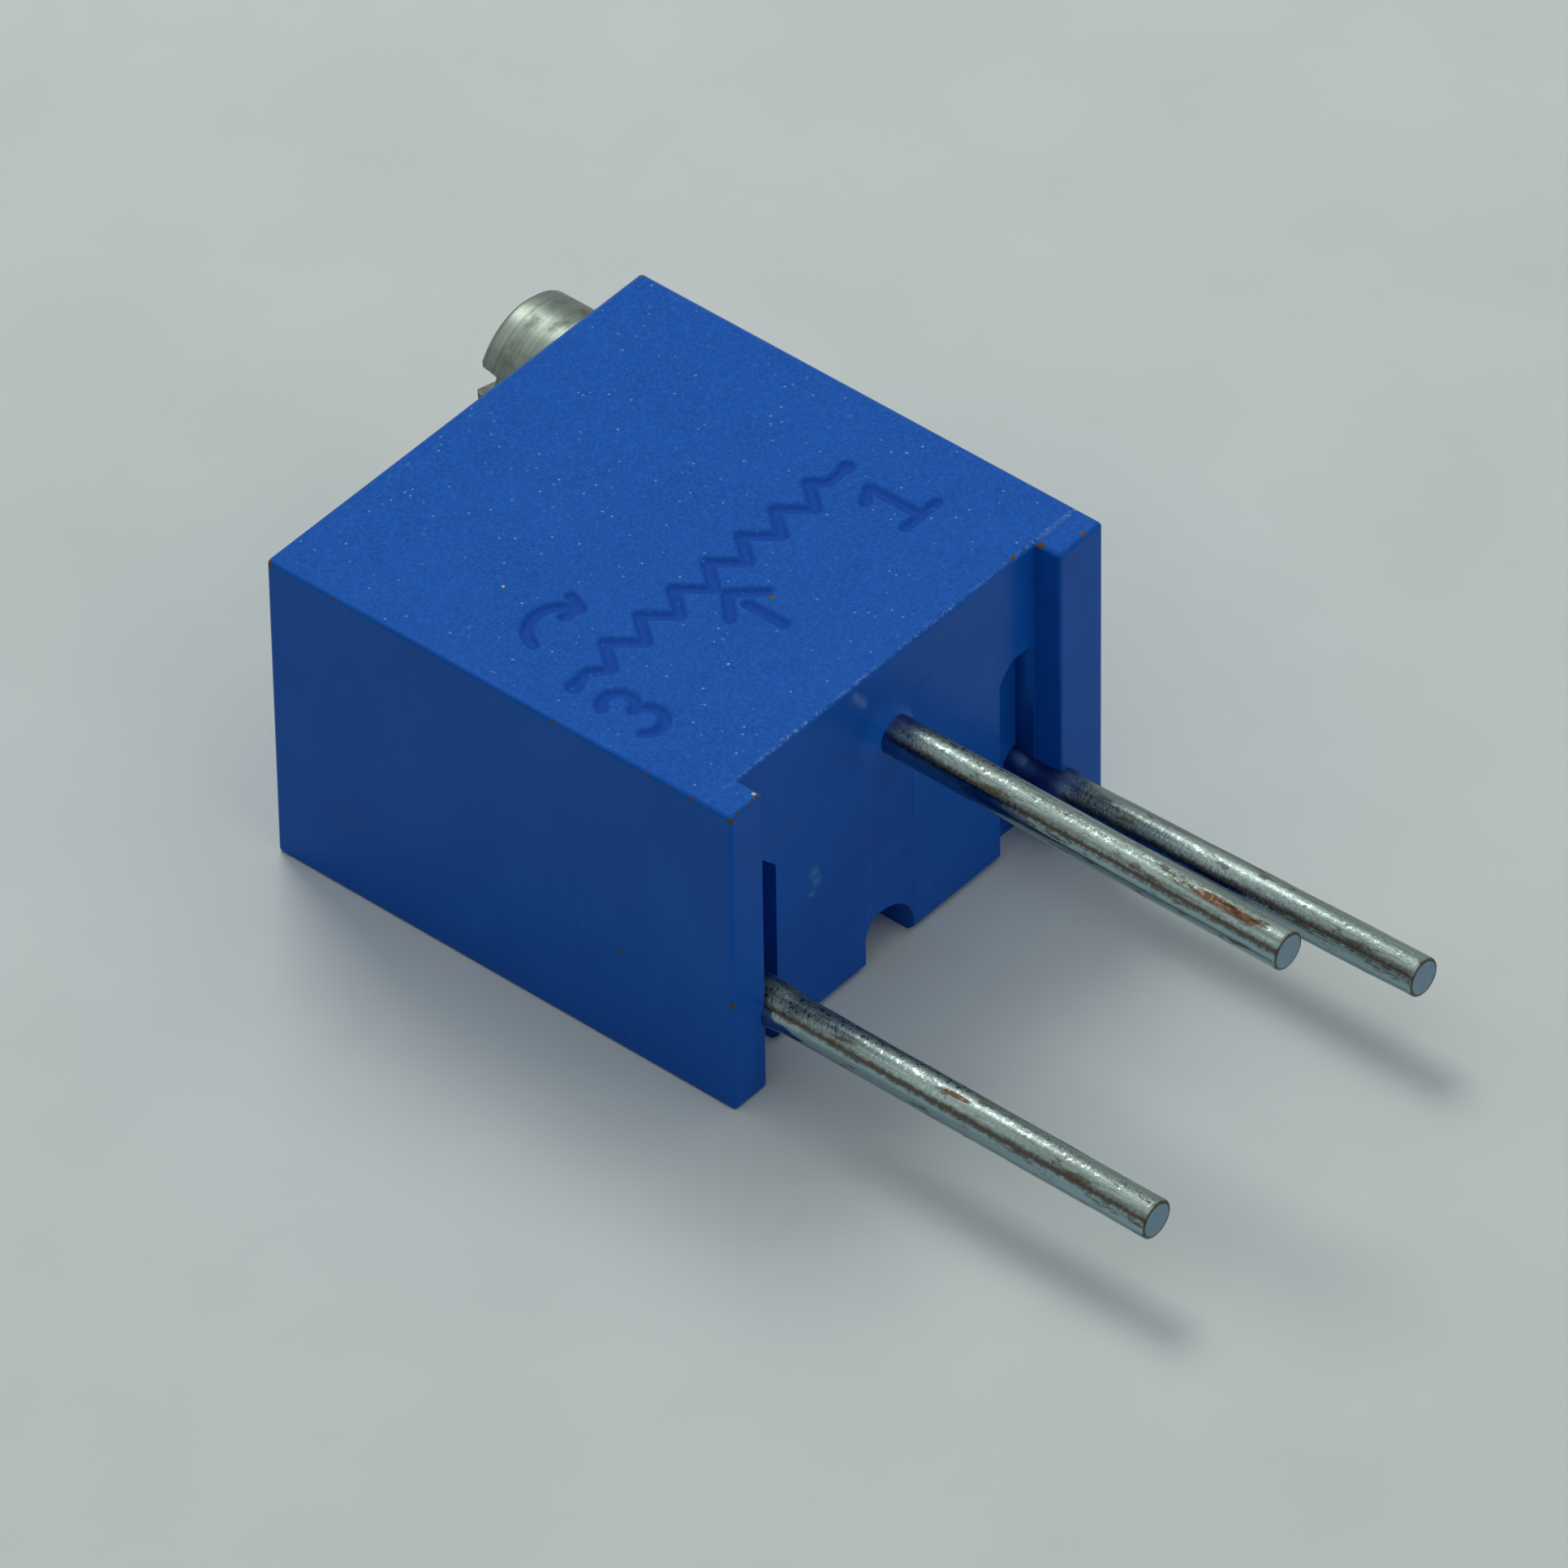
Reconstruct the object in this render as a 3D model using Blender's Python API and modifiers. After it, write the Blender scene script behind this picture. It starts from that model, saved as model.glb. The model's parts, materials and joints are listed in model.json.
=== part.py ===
"""Multi-turn trimming potentiometer, lying on its potted back.

A screw with a worm turns a toothed rotor inside a moulded housing. The rotor carries a spring wiper over a
resistive track on a ceramic substrate, and three wire pins leave the housing's pin face.
X runs from the pin-3 side to the pin-1 side, Y from the pin face to the screw face, and Z from the potted back
to the marked face. The origin is the middle of the back, under the main block of the housing.
"""

import math

import bmesh
import bpy
from mathutils import Matrix

MM = 0.001

# Housing block
body_width = 6.60 * MM
body_depth = 6.60 * MM
body_height = 4.50 * MM
edge_round = 0.05 * MM
side_wall = 0.36 * MM
pin_wall = 0.95 * MM
screw_wall = 0.70 * MM
marked_wall = 0.50 * MM

# Standoff ribs on the pin face
standoff = 0.38 * MM
rib_1_width = 0.77 * MM
rib_3_width = 0.57 * MM

# Recesses in the pin face
pocket_depth = 0.28 * MM
pocket_from_marked_face = 1.53 * MM
pocket_width = 0.62 * MM
pocket_corner = 0.22 * MM
channel_x = -0.10 * MM
channel_half_width = 0.43 * MM
seal_sink = 0.01 * MM
seal_cover = 0.07 * MM
arch_x = -0.26 * MM
arch_height = 0.72 * MM
arch_side_1_height = 0.17 * MM
arch_side_3_height = 0.42 * MM
wall_foot_chamfer = 0.10 * MM

# Pins
pin_diameter = 0.51 * MM
pin_from_side = 0.76 * MM
pin_below_substrate = 0.35 * MM
middle_pin_from_marked_face = 1.18 * MM
pin_1_reach = 5.38 * MM
pin_2_reach = 5.42 * MM
pin_3_reach = 5.60 * MM
pin_1_straight = 0.10 * MM
pin_1_dip = 0.24 * MM
pin_1_tip_rise = 0.21 * MM
pin_bend_radius = 0.35 * MM
outer_pin_inner_length = 2.20 * MM

# Adjusting screw
screw_from_side = 1.05 * MM
screw_from_marked_face = 1.12 * MM
head_radius = 0.88 * MM
head_length = 0.92 * MM
head_chamfer = 0.07 * MM
slot_width = 0.34 * MM
slot_depth = 0.30 * MM
slot_turn = math.radians(15)
journal_radius = 0.60 * MM
thread_radius = 0.58 * MM
thread_depth = 0.30 * MM
worm_length = 2.50 * MM
collar_length = 0.35 * MM
pilot_length = 0.50 * MM
o_ring_section = 0.23 * MM
o_ring_from_face = 0.35 * MM
clip_thickness = 0.16 * MM
clip_groove_depth = 0.22 * MM
clip_half_width = 0.60 * MM
clip_rise = 0.52 * MM

# Rotor
gear_teeth = 16
gear_width = 0.85 * MM
gear_addendum = 0.13 * MM
pressure_angle = math.radians(20)
backlash = 0.10 * MM
post_radius = 0.55 * MM
post_length = 0.60 * MM
bearing_ring_width = 0.26 * MM
stop_ring_room = 0.30 * MM
stop_rim_room = 0.25 * MM
stop_half_angle = math.radians(18)
stop_overlap = 0.07 * MM
stud_radius = 0.16 * MM
stud_length = 0.17 * MM
stud_offset = 0.95 * MM

# Wiper
wiper_thickness = 0.07 * MM
finger_width = 0.13 * MM
finger_pitch = 0.19 * MM
finger_count = 3
carrier_length = 0.52 * MM
finger_reach = 0.95 * MM
knuckle_radius = 0.16 * MM

# Substrate and films
substrate_thickness = 0.62 * MM
ledge_below_gear = 0.855 * MM
film_thickness = 0.03 * MM
track_edge_margin = 0.27 * MM
track_width = 0.70 * MM
track_half_angle = math.radians(141)
end_pad_angle = math.radians(14)
collector_radius = 0.62 * MM
via_radius = 0.16 * MM
land_half_depth = 0.38 * MM
land_margin = 0.12 * MM

# Solder
solder_wrap = 0.11 * MM
solder_half_length = 0.55 * MM
solder_below_pin = 0.08 * MM

# Clearances
running_gap = 0.03 * MM
seat_gap = 0.01 * MM
worm_room = 0.07 * MM
gear_room = 0.10 * MM
ledge_least = 0.05 * MM
mesh_clearance = 0.02 * MM
land_gap = 0.02 * MM
overrun = 0.40 * MM
shallow_overrun = 0.02 * MM

# Facets
fine_steps = 48
pin_steps = 24
small_steps = 20
arc_steps = 12
thread_steps = 24

# Places worked out from the sizes
half_width = body_width / 2
half_depth = body_depth / 2
seat_y = -half_depth - standoff
cavity_side = half_width - side_wall
cavity_front = -half_depth + pin_wall
cavity_back = half_depth - screw_wall
ceiling = body_height - marked_wall
rib_1_inner = half_width - rib_1_width
rib_3_inner = -half_width + rib_3_width

pin_radius = pin_diameter / 2
pin_x = half_width - pin_from_side
channel_wire_y = -half_depth + seal_sink + seal_cover + seat_gap + pin_radius
channel_depth = seal_sink + 2 * seal_cover + 2 * seat_gap + pin_diameter

screw_x = half_width - screw_from_side
screw_z = body_height - screw_from_marked_face
root_radius = thread_radius - thread_depth
worm_pitch_radius = (thread_radius + root_radius) / 2
rotor_y = (cavity_front + cavity_back) / 2
gear_edge_room = ledge_least + gear_room + gear_addendum
gear_pitch_radius = min(
    (screw_x - worm_pitch_radius + cavity_side - gear_edge_room) / 2,
    (cavity_back - cavity_front) / 2 - gear_edge_room,
)
rotor_x = screw_x - worm_pitch_radius - gear_pitch_radius
gear_outer = gear_pitch_radius + gear_addendum
gear_root = gear_pitch_radius - (thread_radius - worm_pitch_radius) - mesh_clearance
chamber_radius = gear_outer + gear_room
thread_lead = 2 * math.pi * gear_pitch_radius / gear_teeth
gear_low = screw_z - gear_width / 2
gear_high = screw_z + gear_width / 2
track_radius = gear_outer - track_edge_margin - track_width / 2
bearing_ring_radius = post_radius + running_gap + bearing_ring_width
stop_inner = bearing_ring_radius + stop_ring_room
stop_outer = gear_root - stop_rim_room

worm_high = rotor_y + worm_length / 2
worm_low = rotor_y - worm_length / 2
clip_groove_width = clip_thickness + 2 * running_gap
clip_y = worm_high + collar_length + clip_groove_width / 2
clip_groove_radius = journal_radius - clip_groove_depth
o_ring_groove_radius = journal_radius + running_gap - o_ring_section - 2 * seat_gap
o_ring_groove_width = o_ring_section + 2 * running_gap
o_ring_y = half_depth - o_ring_from_face - o_ring_groove_width / 2
head_low = half_depth + running_gap
head_high = head_low + head_length

ledge_height = gear_low - ledge_below_gear
substrate_high = ledge_height - seat_gap
substrate_low = substrate_high - substrate_thickness
outer_pin_height = substrate_low - pin_below_substrate
middle_pin_height = body_height - middle_pin_from_marked_face
pocket_height = body_height - pocket_from_marked_face
film_low = substrate_high + seat_gap
film_high = film_low + film_thickness
land_high = substrate_low - seat_gap
land_low = land_high - film_thickness
solder_high = land_low - seat_gap
potting_high = land_low - land_gap
outer_pin_end = -half_depth + outer_pin_inner_length
outer_land_y = outer_pin_end - solder_half_length / 3
via_angle = track_half_angle + end_pad_angle / 2
wiper_high = gear_low - seat_gap
wiper_low = wiper_high - wiper_thickness


def clear_scene():
    for obj in list(bpy.data.objects):
        bpy.data.objects.remove(obj, do_unlink=True)


def new_collection(name):
    collection = bpy.data.collections.new(name)
    bpy.context.scene.collection.children.link(collection)
    return collection


def plain_material(name, colour, roughness, metallic=0.0):
    material = bpy.data.materials.new(name)
    material.use_nodes = True
    shader = material.node_tree.nodes["Principled BSDF"]
    shader.inputs["Base Color"].default_value = (*colour, 1.0)
    shader.inputs["Roughness"].default_value = roughness
    shader.inputs["Metallic"].default_value = metallic
    material.diffuse_color = (*colour, 1.0)
    return material


clear_scene()
parts = new_collection("multi_turn_potentiometer")
cutters = new_collection("cutters")


def place_mesh(name, shape, group, material=None):
    """A bmesh made an object of the group."""
    bmesh.ops.recalc_face_normals(shape, faces=shape.faces)
    mesh = bpy.data.meshes.new(name)
    shape.to_mesh(mesh)
    shape.free()
    mesh.shade_smooth()
    mesh.set_sharp_from_angle(angle=math.radians(30))
    obj = bpy.data.objects.new(name, mesh)
    group.objects.link(obj)
    if material:
        mesh.materials.append(material)
    return obj


def as_cutter(obj):
    obj.hide_render = True
    obj.display_type = "WIRE"
    return obj


def box_shape(low, high):
    shape = bmesh.new()
    bmesh.ops.create_cube(shape, size=1.0)
    middle = [(a + b) / 2 for a, b in zip(low, high)]
    size = [b - a for a, b in zip(low, high)]
    bmesh.ops.scale(shape, vec=size, verts=shape.verts)
    bmesh.ops.translate(shape, vec=middle, verts=shape.verts)
    return shape


def drum_shape(radius, start, end, steps=fine_steps):
    """A cylinder round the line from start to end, which runs along one axis."""
    shape = bmesh.new()
    along = [b - a for a, b in zip(start, end)]
    length = math.hypot(*along)
    bmesh.ops.create_cone(
        shape, cap_ends=True, segments=steps, radius1=radius, radius2=radius, depth=length
    )
    if abs(along[1]) > length / 2:
        bmesh.ops.rotate(shape, matrix=Matrix.Rotation(math.pi / 2, 3, "X"), verts=shape.verts)
    middle = [(a + b) / 2 for a, b in zip(start, end)]
    bmesh.ops.translate(shape, vec=middle, verts=shape.verts)
    return shape


def extruded_shape(outline, vector):
    """The flat outline, a list of points in space, carried along the vector."""
    shape = bmesh.new()
    face = shape.faces.new([shape.verts.new(point) for point in outline])
    grown = bmesh.ops.extrude_face_region(shape, geom=[face])
    moved = [item for item in grown["geom"] if isinstance(item, bmesh.types.BMVert)]
    bmesh.ops.translate(shape, vec=vector, verts=moved)
    return shape


def across(outline, low_y, high_y):
    """An outline of (x, z) points carried along Y."""
    return extruded_shape([(x, low_y, z) for x, z in outline], (0, high_y - low_y, 0))


def upright(outline, low_z, high_z):
    """An outline of (x, y) points carried along Z."""
    return extruded_shape([(x, y, low_z) for x, y in outline], (0, 0, high_z - low_z))


def arc(centre, radius, start, end, steps=arc_steps):
    """Points on an arc, both ends included."""
    angles = [start + (end - start) * k / steps for k in range(steps + 1)]
    return [(centre[0] + radius * math.cos(a), centre[1] + radius * math.sin(a)) for a in angles]


def sector(centre, inner, outer, start, end, steps=arc_steps):
    """The outline of a ring's sector."""
    return arc(centre, outer, start, end, steps) + arc(centre, inner, end, start, steps)


def turned(name, profile, group, material=None, steps=fine_steps):
    """A profile of (radius, height) points, top to bottom, turned about the object's Z axis."""
    mesh = bpy.data.meshes.new(name)
    edges = [(k, k + 1) for k in range(len(profile) - 1)]
    mesh.from_pydata([(radius, 0, height) for radius, height in profile], edges, [])
    obj = bpy.data.objects.new(name, mesh)
    group.objects.link(obj)
    screw = obj.modifiers.new("turn", "SCREW")
    screw.steps = steps
    screw.render_steps = steps
    screw.use_merge_vertices = True
    screw.merge_threshold = 1e-7
    if material:
        mesh.materials.append(material)
    return obj


def boolean(obj, other, operation="DIFFERENCE"):
    modifier = obj.modifiers.new(other.name, "BOOLEAN")
    modifier.object = other
    modifier.operation = operation
    modifier.solver = "EXACT"


def cut_with(obj, name, shape):
    cutter = as_cutter(place_mesh(name, shape, cutters))
    boolean(obj, cutter)
    return cutter


def join_with(obj, name, shape):
    added = as_cutter(place_mesh(name, shape, cutters))
    boolean(obj, added, "UNION")
    return added


def wire(name, path, radius, material, sides=pin_steps):
    """A round wire along a list of points, with flat sheared ends."""
    curve = bpy.data.curves.new(name, "CURVE")
    curve.dimensions = "3D"
    curve.bevel_depth = radius
    curve.bevel_resolution = (sides - 4) // 2
    curve.use_fill_caps = True
    spline = curve.splines.new("POLY")
    spline.points.add(len(path) - 1)
    for point, place in zip(spline.points, path):
        point.co = (*place, 1.0)
    curve.materials.append(material)
    obj = bpy.data.objects.new(name, curve)
    parts.objects.link(obj)
    return obj


def wire_cutter(name, path, radius, sides=pin_steps):
    """The room a wire takes, as a closed mesh."""
    obj = wire(name + "_curve", path, radius, plain_material(name, (1, 1, 1), 1), sides)
    bpy.context.view_layer.update()
    mesh = bpy.data.meshes.new_from_object(obj.evaluated_get(bpy.context.evaluated_depsgraph_get()))
    shape = bmesh.new()
    shape.from_mesh(mesh)
    bmesh.ops.remove_doubles(shape, verts=shape.verts, dist=1e-7)
    bpy.data.objects.remove(obj, do_unlink=True)
    return as_cutter(place_mesh(name, shape, cutters))


# Materials
blue_moulding = plain_material("blue_moulding", (0.020, 0.070, 0.36), 0.42)
blue_resin = plain_material("blue_resin", (0.012, 0.045, 0.26), 0.25)
nickel_brass = plain_material("nickel_brass", (0.56, 0.52, 0.42), 0.32, 1.0)
tinned_copper = plain_material("tinned_copper", (0.62, 0.61, 0.57), 0.30, 1.0)
spring_steel = plain_material("spring_steel", (0.55, 0.56, 0.58), 0.30, 1.0)
contact_alloy = plain_material("contact_alloy", (0.76, 0.66, 0.42), 0.28, 1.0)
rotor_nylon = plain_material("rotor_nylon", (0.80, 0.79, 0.74), 0.45)
black_rubber = plain_material("black_rubber", (0.02, 0.02, 0.02), 0.60)
alumina = plain_material("alumina", (0.85, 0.85, 0.82), 0.55)
cermet = plain_material("cermet", (0.05, 0.05, 0.055), 0.50)
silver_film = plain_material("silver_film", (0.70, 0.69, 0.66), 0.40, 1.0)
solder_alloy = plain_material("solder_alloy", (0.66, 0.67, 0.68), 0.25, 1.0)


# Housing
def housing_block():
    """The block and its ribs as one outline, carried to the body's height, with every outer edge rounded."""
    outline = [
        (-half_width, half_depth),
        (-half_width, seat_y),
        (rib_3_inner, seat_y),
        (rib_3_inner, -half_depth),
        (rib_1_inner, -half_depth),
        (rib_1_inner, seat_y),
        (half_width, seat_y),
        (half_width, half_depth),
    ]
    shape = upright(outline, 0, body_height)
    bmesh.ops.recalc_face_normals(shape, faces=shape.faces)
    outer_edges = [edge for edge in shape.edges if edge.is_convex]
    bmesh.ops.bevel(shape, geom=outer_edges, offset=edge_round, segments=2, profile=0.5, affect="EDGES")
    return shape


def pocket_outline(side):
    """The recess beside a rib, with its inner top corner cut off; side is 1 for pin 1 and -1 for pin 3."""
    outer = (rib_1_inner if side > 0 else rib_3_inner) - side * shallow_overrun
    inner = outer - side * pocket_width
    return [
        (inner, -overrun),
        (outer, -overrun),
        (outer, pocket_height),
        (inner + side * pocket_corner, pocket_height),
        (inner, pocket_height - pocket_corner),
    ]


def arch_foot(half_wide):
    """The resin's lopsided arch: two quarter ellipses that meet at its top, which is off the channel's middle."""
    foot = []
    for k in range(arc_steps + 1):
        turn = math.pi * k / arc_steps
        on_side_3 = turn < math.pi / 2
        side_height = arch_side_3_height if on_side_3 else arch_side_1_height
        side_x = channel_x - half_wide if on_side_3 else channel_x + half_wide
        x = arch_x + (side_x - arch_x) * abs(math.cos(turn))
        foot.append((x, side_height + (arch_height - side_height) * math.sin(turn)))
    return foot


def channel_outline(half_wide, low, top, arched=False):
    """The middle channel's section: straight sides under a half-round top, and an arch at its foot if asked."""
    outline = arc((channel_x, top - half_wide), half_wide, 0, math.pi)
    if arched:
        return outline + arch_foot(half_wide)
    return outline + [(channel_x - half_wide, low), (channel_x + half_wide, low)]


channel_top = middle_pin_height + channel_half_width


def rotor_chamber():
    """The round chamber, less the post that the rotor turns on."""
    post_low = ceiling - post_length
    profile = [
        (0, post_low),
        (post_radius, post_low),
        (post_radius, ceiling),
        (chamber_radius, ceiling),
        (chamber_radius, ledge_height - overrun),
        (0, ledge_height - overrun),
    ]
    chamber = turned("cut_chamber", profile, cutters)
    chamber.location = (rotor_x, rotor_y, 0)
    return as_cutter(chamber)


def worm_trough():
    """The worm's room: a half-round roof over straight sides that open to the back, so that a core can leave it."""
    reach = thread_radius + worm_room
    outline = arc((screw_x, screw_z), reach, 0, math.pi, fine_steps // 2)
    outline += [(screw_x - reach, ledge_height - overrun), (screw_x + reach, ledge_height - overrun)]
    return across(outline, worm_low - running_gap, worm_high + running_gap)


def build_housing():
    housing = place_mesh("housing", housing_block(), parts, blue_moulding)
    cut_with(
        housing,
        "cut_substrate_pocket",
        box_shape((-cavity_side, cavity_front, -overrun), (cavity_side, cavity_back, ledge_height)),
    )
    boolean(housing, rotor_chamber())
    cut_with(housing, "cut_worm_trough", worm_trough())
    bore = journal_radius + running_gap
    cut_with(
        housing,
        "cut_screw_bore",
        drum_shape(bore, (screw_x, worm_high - running_gap, screw_z), (screw_x, half_depth + overrun, screw_z)),
    )
    pilot = root_radius + running_gap
    pilot_end = worm_low - pilot_length - running_gap
    cut_with(
        housing,
        "cut_pilot_bearing",
        drum_shape(pilot, (screw_x, pilot_end, screw_z), (screw_x, worm_low + overrun, screw_z), small_steps),
    )
    clip_room = clip_half_width + running_gap
    slot_half = clip_thickness / 2 + running_gap
    cut_with(
        housing,
        "cut_clip_slot",
        box_shape(
            (screw_x - clip_room, clip_y - slot_half, ledge_height - overrun),
            (screw_x + clip_room, clip_y + slot_half, screw_z + clip_rise + running_gap),
        ),
    )
    for side, number in ((1, 1), (-1, 3)):
        cut_with(
            housing,
            f"cut_pocket_{number}",
            across(pocket_outline(side), -half_depth - shallow_overrun, -half_depth + pocket_depth),
        )
        hole = [(x, max(y, seat_y - overrun), z) for x, y, z in pin_path(number)]
        boolean(housing, wire_cutter(f"cut_pin_{number}_hole", hole, pin_radius + running_gap))
    cut_with(
        housing,
        "cut_channel",
        across(
            channel_outline(channel_half_width, -overrun, channel_top),
            -half_depth - overrun,
            -half_depth + channel_depth,
        ),
    )
    foot = wall_foot_chamfer + shallow_overrun
    foot_outline = [
        (-half_depth - shallow_overrun, foot),
        (-half_depth - shallow_overrun, -shallow_overrun),
        (-half_depth + foot, -shallow_overrun),
    ]
    foot_low = rib_3_inner + pocket_width / 2
    foot_high = rib_1_inner - pocket_width / 2
    foot_section = [(foot_low, y, z) for y, z in foot_outline]
    cut_with(housing, "cut_wall_foot", extruded_shape(foot_section, (foot_high - foot_low, 0, 0)))
    slot = pin_radius + running_gap
    cut_with(
        housing,
        "cut_pin_2_slot",
        box_shape(
            (-slot, -half_depth + channel_depth - shallow_overrun, -overrun),
            (slot, cavity_front + shallow_overrun, outer_pin_height + pin_radius + 2 * running_gap),
        ),
    )
    lug_low = ceiling - (ceiling - gear_high + stop_overlap) / 2
    lug = sector(
        (rotor_x, rotor_y),
        stop_inner,
        stop_outer,
        -math.pi / 2 - stop_half_angle,
        -math.pi / 2 + stop_half_angle,
    )
    join_with(housing, "add_stop_lug", upright(lug, lug_low, ceiling + marked_wall / 2))
    return housing


# Rotor
def involute(angle):
    return math.tan(angle) - angle


def tooth_half_angle(radius):
    """Half the angle that a tooth takes at this radius: an involute flank from the base circle outwards."""
    base = gear_pitch_radius * math.cos(pressure_angle)
    at_pitch = math.pi / (2 * gear_teeth) - backlash / (4 * gear_pitch_radius)
    flank = math.acos(min(1.0, base / max(radius, base)))
    return at_pitch + involute(pressure_angle) - involute(flank)


def gear_outline(twist):
    """The gear's outline in its own frame, with a gap between teeth on the +X axis before the twist."""
    radii = [gear_root + (gear_outer - gear_root) * k / 4 for k in range(5)]
    points = []
    for tooth in range(gear_teeth):
        middle = (tooth + 0.5) * 2 * math.pi / gear_teeth + twist
        rising = [(radius, middle - tooth_half_angle(radius)) for radius in radii]
        falling = [(radius, middle + tooth_half_angle(radius)) for radius in reversed(radii)]
        points += [(r * math.cos(a), r * math.sin(a)) for r, a in rising + falling]
    return points


def gear_shape():
    """The toothed rim, its face carried up and turned at once so that the teeth lean with the worm's thread."""
    lean = gear_width / (gear_teeth * worm_pitch_radius)
    layers = 3
    shape = bmesh.new()
    corners = [shape.verts.new((x, y, gear_low)) for x, y in gear_outline(-lean / 2)]
    face = shape.faces.new(corners)
    bmesh.ops.spin(
        shape,
        geom=[face],
        cent=(0, 0, 0),
        axis=(0, 0, 1),
        dvec=(0, 0, gear_width / layers),
        angle=lean,
        steps=layers,
        use_duplicate=False,
    )
    return shape


def build_rotor():
    rotor = place_mesh("rotor_gear", gear_shape(), parts, rotor_nylon)
    rotor.location = (rotor_x, rotor_y, 0)
    pieces = [
        (
            "add_bearing_ring",
            drum_shape(bearing_ring_radius, (0, 0, screw_z), (0, 0, ceiling - running_gap)),
        ),
        (
            "add_stop_tab",
            upright(
                sector(
                    (0, 0),
                    stop_inner,
                    stop_outer,
                    math.pi / 2 - stop_half_angle,
                    math.pi / 2 + stop_half_angle,
                ),
                screw_z,
                gear_high + (ceiling - gear_high + stop_overlap) / 2,
            ),
        ),
    ]
    for side, number in ((-1, 1), (1, 2)):
        foot = (side * stud_offset, 0, gear_low - wiper_thickness - stud_length)
        pieces.append((f"add_stud_{number}", drum_shape(stud_radius, foot, (foot[0], 0, screw_z), small_steps)))
    for name, shape in pieces:
        join_with(rotor, name, shape).parent = rotor
    bore_low = ceiling - post_length - running_gap
    bore = drum_shape(post_radius + running_gap, (0, 0, bore_low), (0, 0, ceiling + overrun))
    cut_with(rotor, "cut_pivot_bore", bore).parent = rotor
    return rotor


def finger_profile(length, drop):
    """A finger's side view: flat, then down a slope, then over a round knuckle that turns up at the tip."""
    knuckle = (length, -drop + knuckle_radius)
    slope_end = math.radians(250)
    slope = [(0, 0), (length * 0.18, 0)]
    curl = arc(knuckle, knuckle_radius, slope_end, slope_end + math.radians(120), 8)
    centre_line = slope + curl
    upper, lower = [], []
    for k, (x, z) in enumerate(centre_line):
        before = centre_line[max(k - 1, 0)]
        after = centre_line[min(k + 1, len(centre_line) - 1)]
        dx, dz = after[0] - before[0], after[1] - before[1]
        size = math.hypot(dx, dz)
        normal = (-dz / size * wiper_thickness / 2, dx / size * wiper_thickness / 2)
        upper.append((x + normal[0], z + normal[1]))
        lower.append((x - normal[0], z - normal[1]))
    return lower + upper[::-1]


def build_wiper(rotor):
    """A carrier plate staked to the rotor, with fingers over the track and a second set over the collector."""
    mid = (wiper_high + wiper_low) / 2
    start = -carrier_length
    half_comb = (finger_count - 1) / 2 * finger_pitch + finger_width / 2
    plate_end = track_radius + half_comb
    wing = stud_offset + stud_radius + carrier_length / 2
    plan = [
        (-wing, -stud_radius * 2),
        (wing, -stud_radius * 2),
        (wing, stud_radius * 2),
        (start + carrier_length * 0.6, stud_radius * 2),
        (start + carrier_length * 0.6, plate_end),
        (start - carrier_length * 0.4, plate_end),
        (start - carrier_length * 0.4, stud_radius * 2),
        (-wing, stud_radius * 2),
    ]
    wiper = place_mesh("wiper", upright(plan, wiper_low, wiper_high), parts, contact_alloy)
    wiper.parent = rotor
    drop = mid - film_high - seat_gap - wiper_thickness / 2
    fingers = [(track_radius + (k - (finger_count - 1) / 2) * finger_pitch, k + 1) for k in range(finger_count)]
    for y, number in fingers:
        outline = [(start + x, mid + z) for x, z in finger_profile(-start, drop)]
        shape = across(outline, y - finger_width / 2, y + finger_width / 2)
        join_with(wiper, f"add_track_finger_{number}", shape).parent = rotor
    for side, number in ((-1, 1), (1, 2)):
        y = side * finger_pitch / 2
        outline = [(-finger_reach / 2 + x, mid + z) for x, z in finger_profile(finger_reach / 2, drop)]
        shape = across(outline, y - finger_width / 2, y + finger_width / 2)
        join_with(wiper, f"add_collector_finger_{number}", shape).parent = rotor
        hole = drum_shape(
            stud_radius + running_gap,
            (side * stud_offset, 0, wiper_low - overrun),
            (side * stud_offset, 0, wiper_high + overrun),
            small_steps,
        )
        cut_with(wiper, f"cut_stake_hole_{number}", hole).parent = rotor
    return wiper


# Adjusting screw
def screw_profile():
    """Radius and distance along the screw, from the head's end face down to the pilot's tip."""
    groove_low = o_ring_y - o_ring_groove_width / 2
    groove_high = o_ring_y + o_ring_groove_width / 2
    clip_low = clip_y - clip_groove_width / 2
    clip_high = clip_y + clip_groove_width / 2
    tip = worm_low - pilot_length
    return [
        (0, head_high),
        (head_radius - head_chamfer, head_high),
        (head_radius, head_high - head_chamfer),
        (head_radius, head_low + head_chamfer / 2),
        (head_radius - head_chamfer / 2, head_low),
        (journal_radius, head_low),
        (journal_radius, groove_high),
        (o_ring_groove_radius, groove_high),
        (o_ring_groove_radius, groove_low),
        (journal_radius, groove_low),
        (journal_radius, clip_high),
        (clip_groove_radius, clip_high),
        (clip_groove_radius, clip_low),
        (journal_radius, clip_low),
        (journal_radius, worm_high),
        (root_radius, worm_high),
        (root_radius, tip + root_radius / 4),
        (root_radius * 3 / 4, tip),
        (0, tip),
    ]


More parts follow.
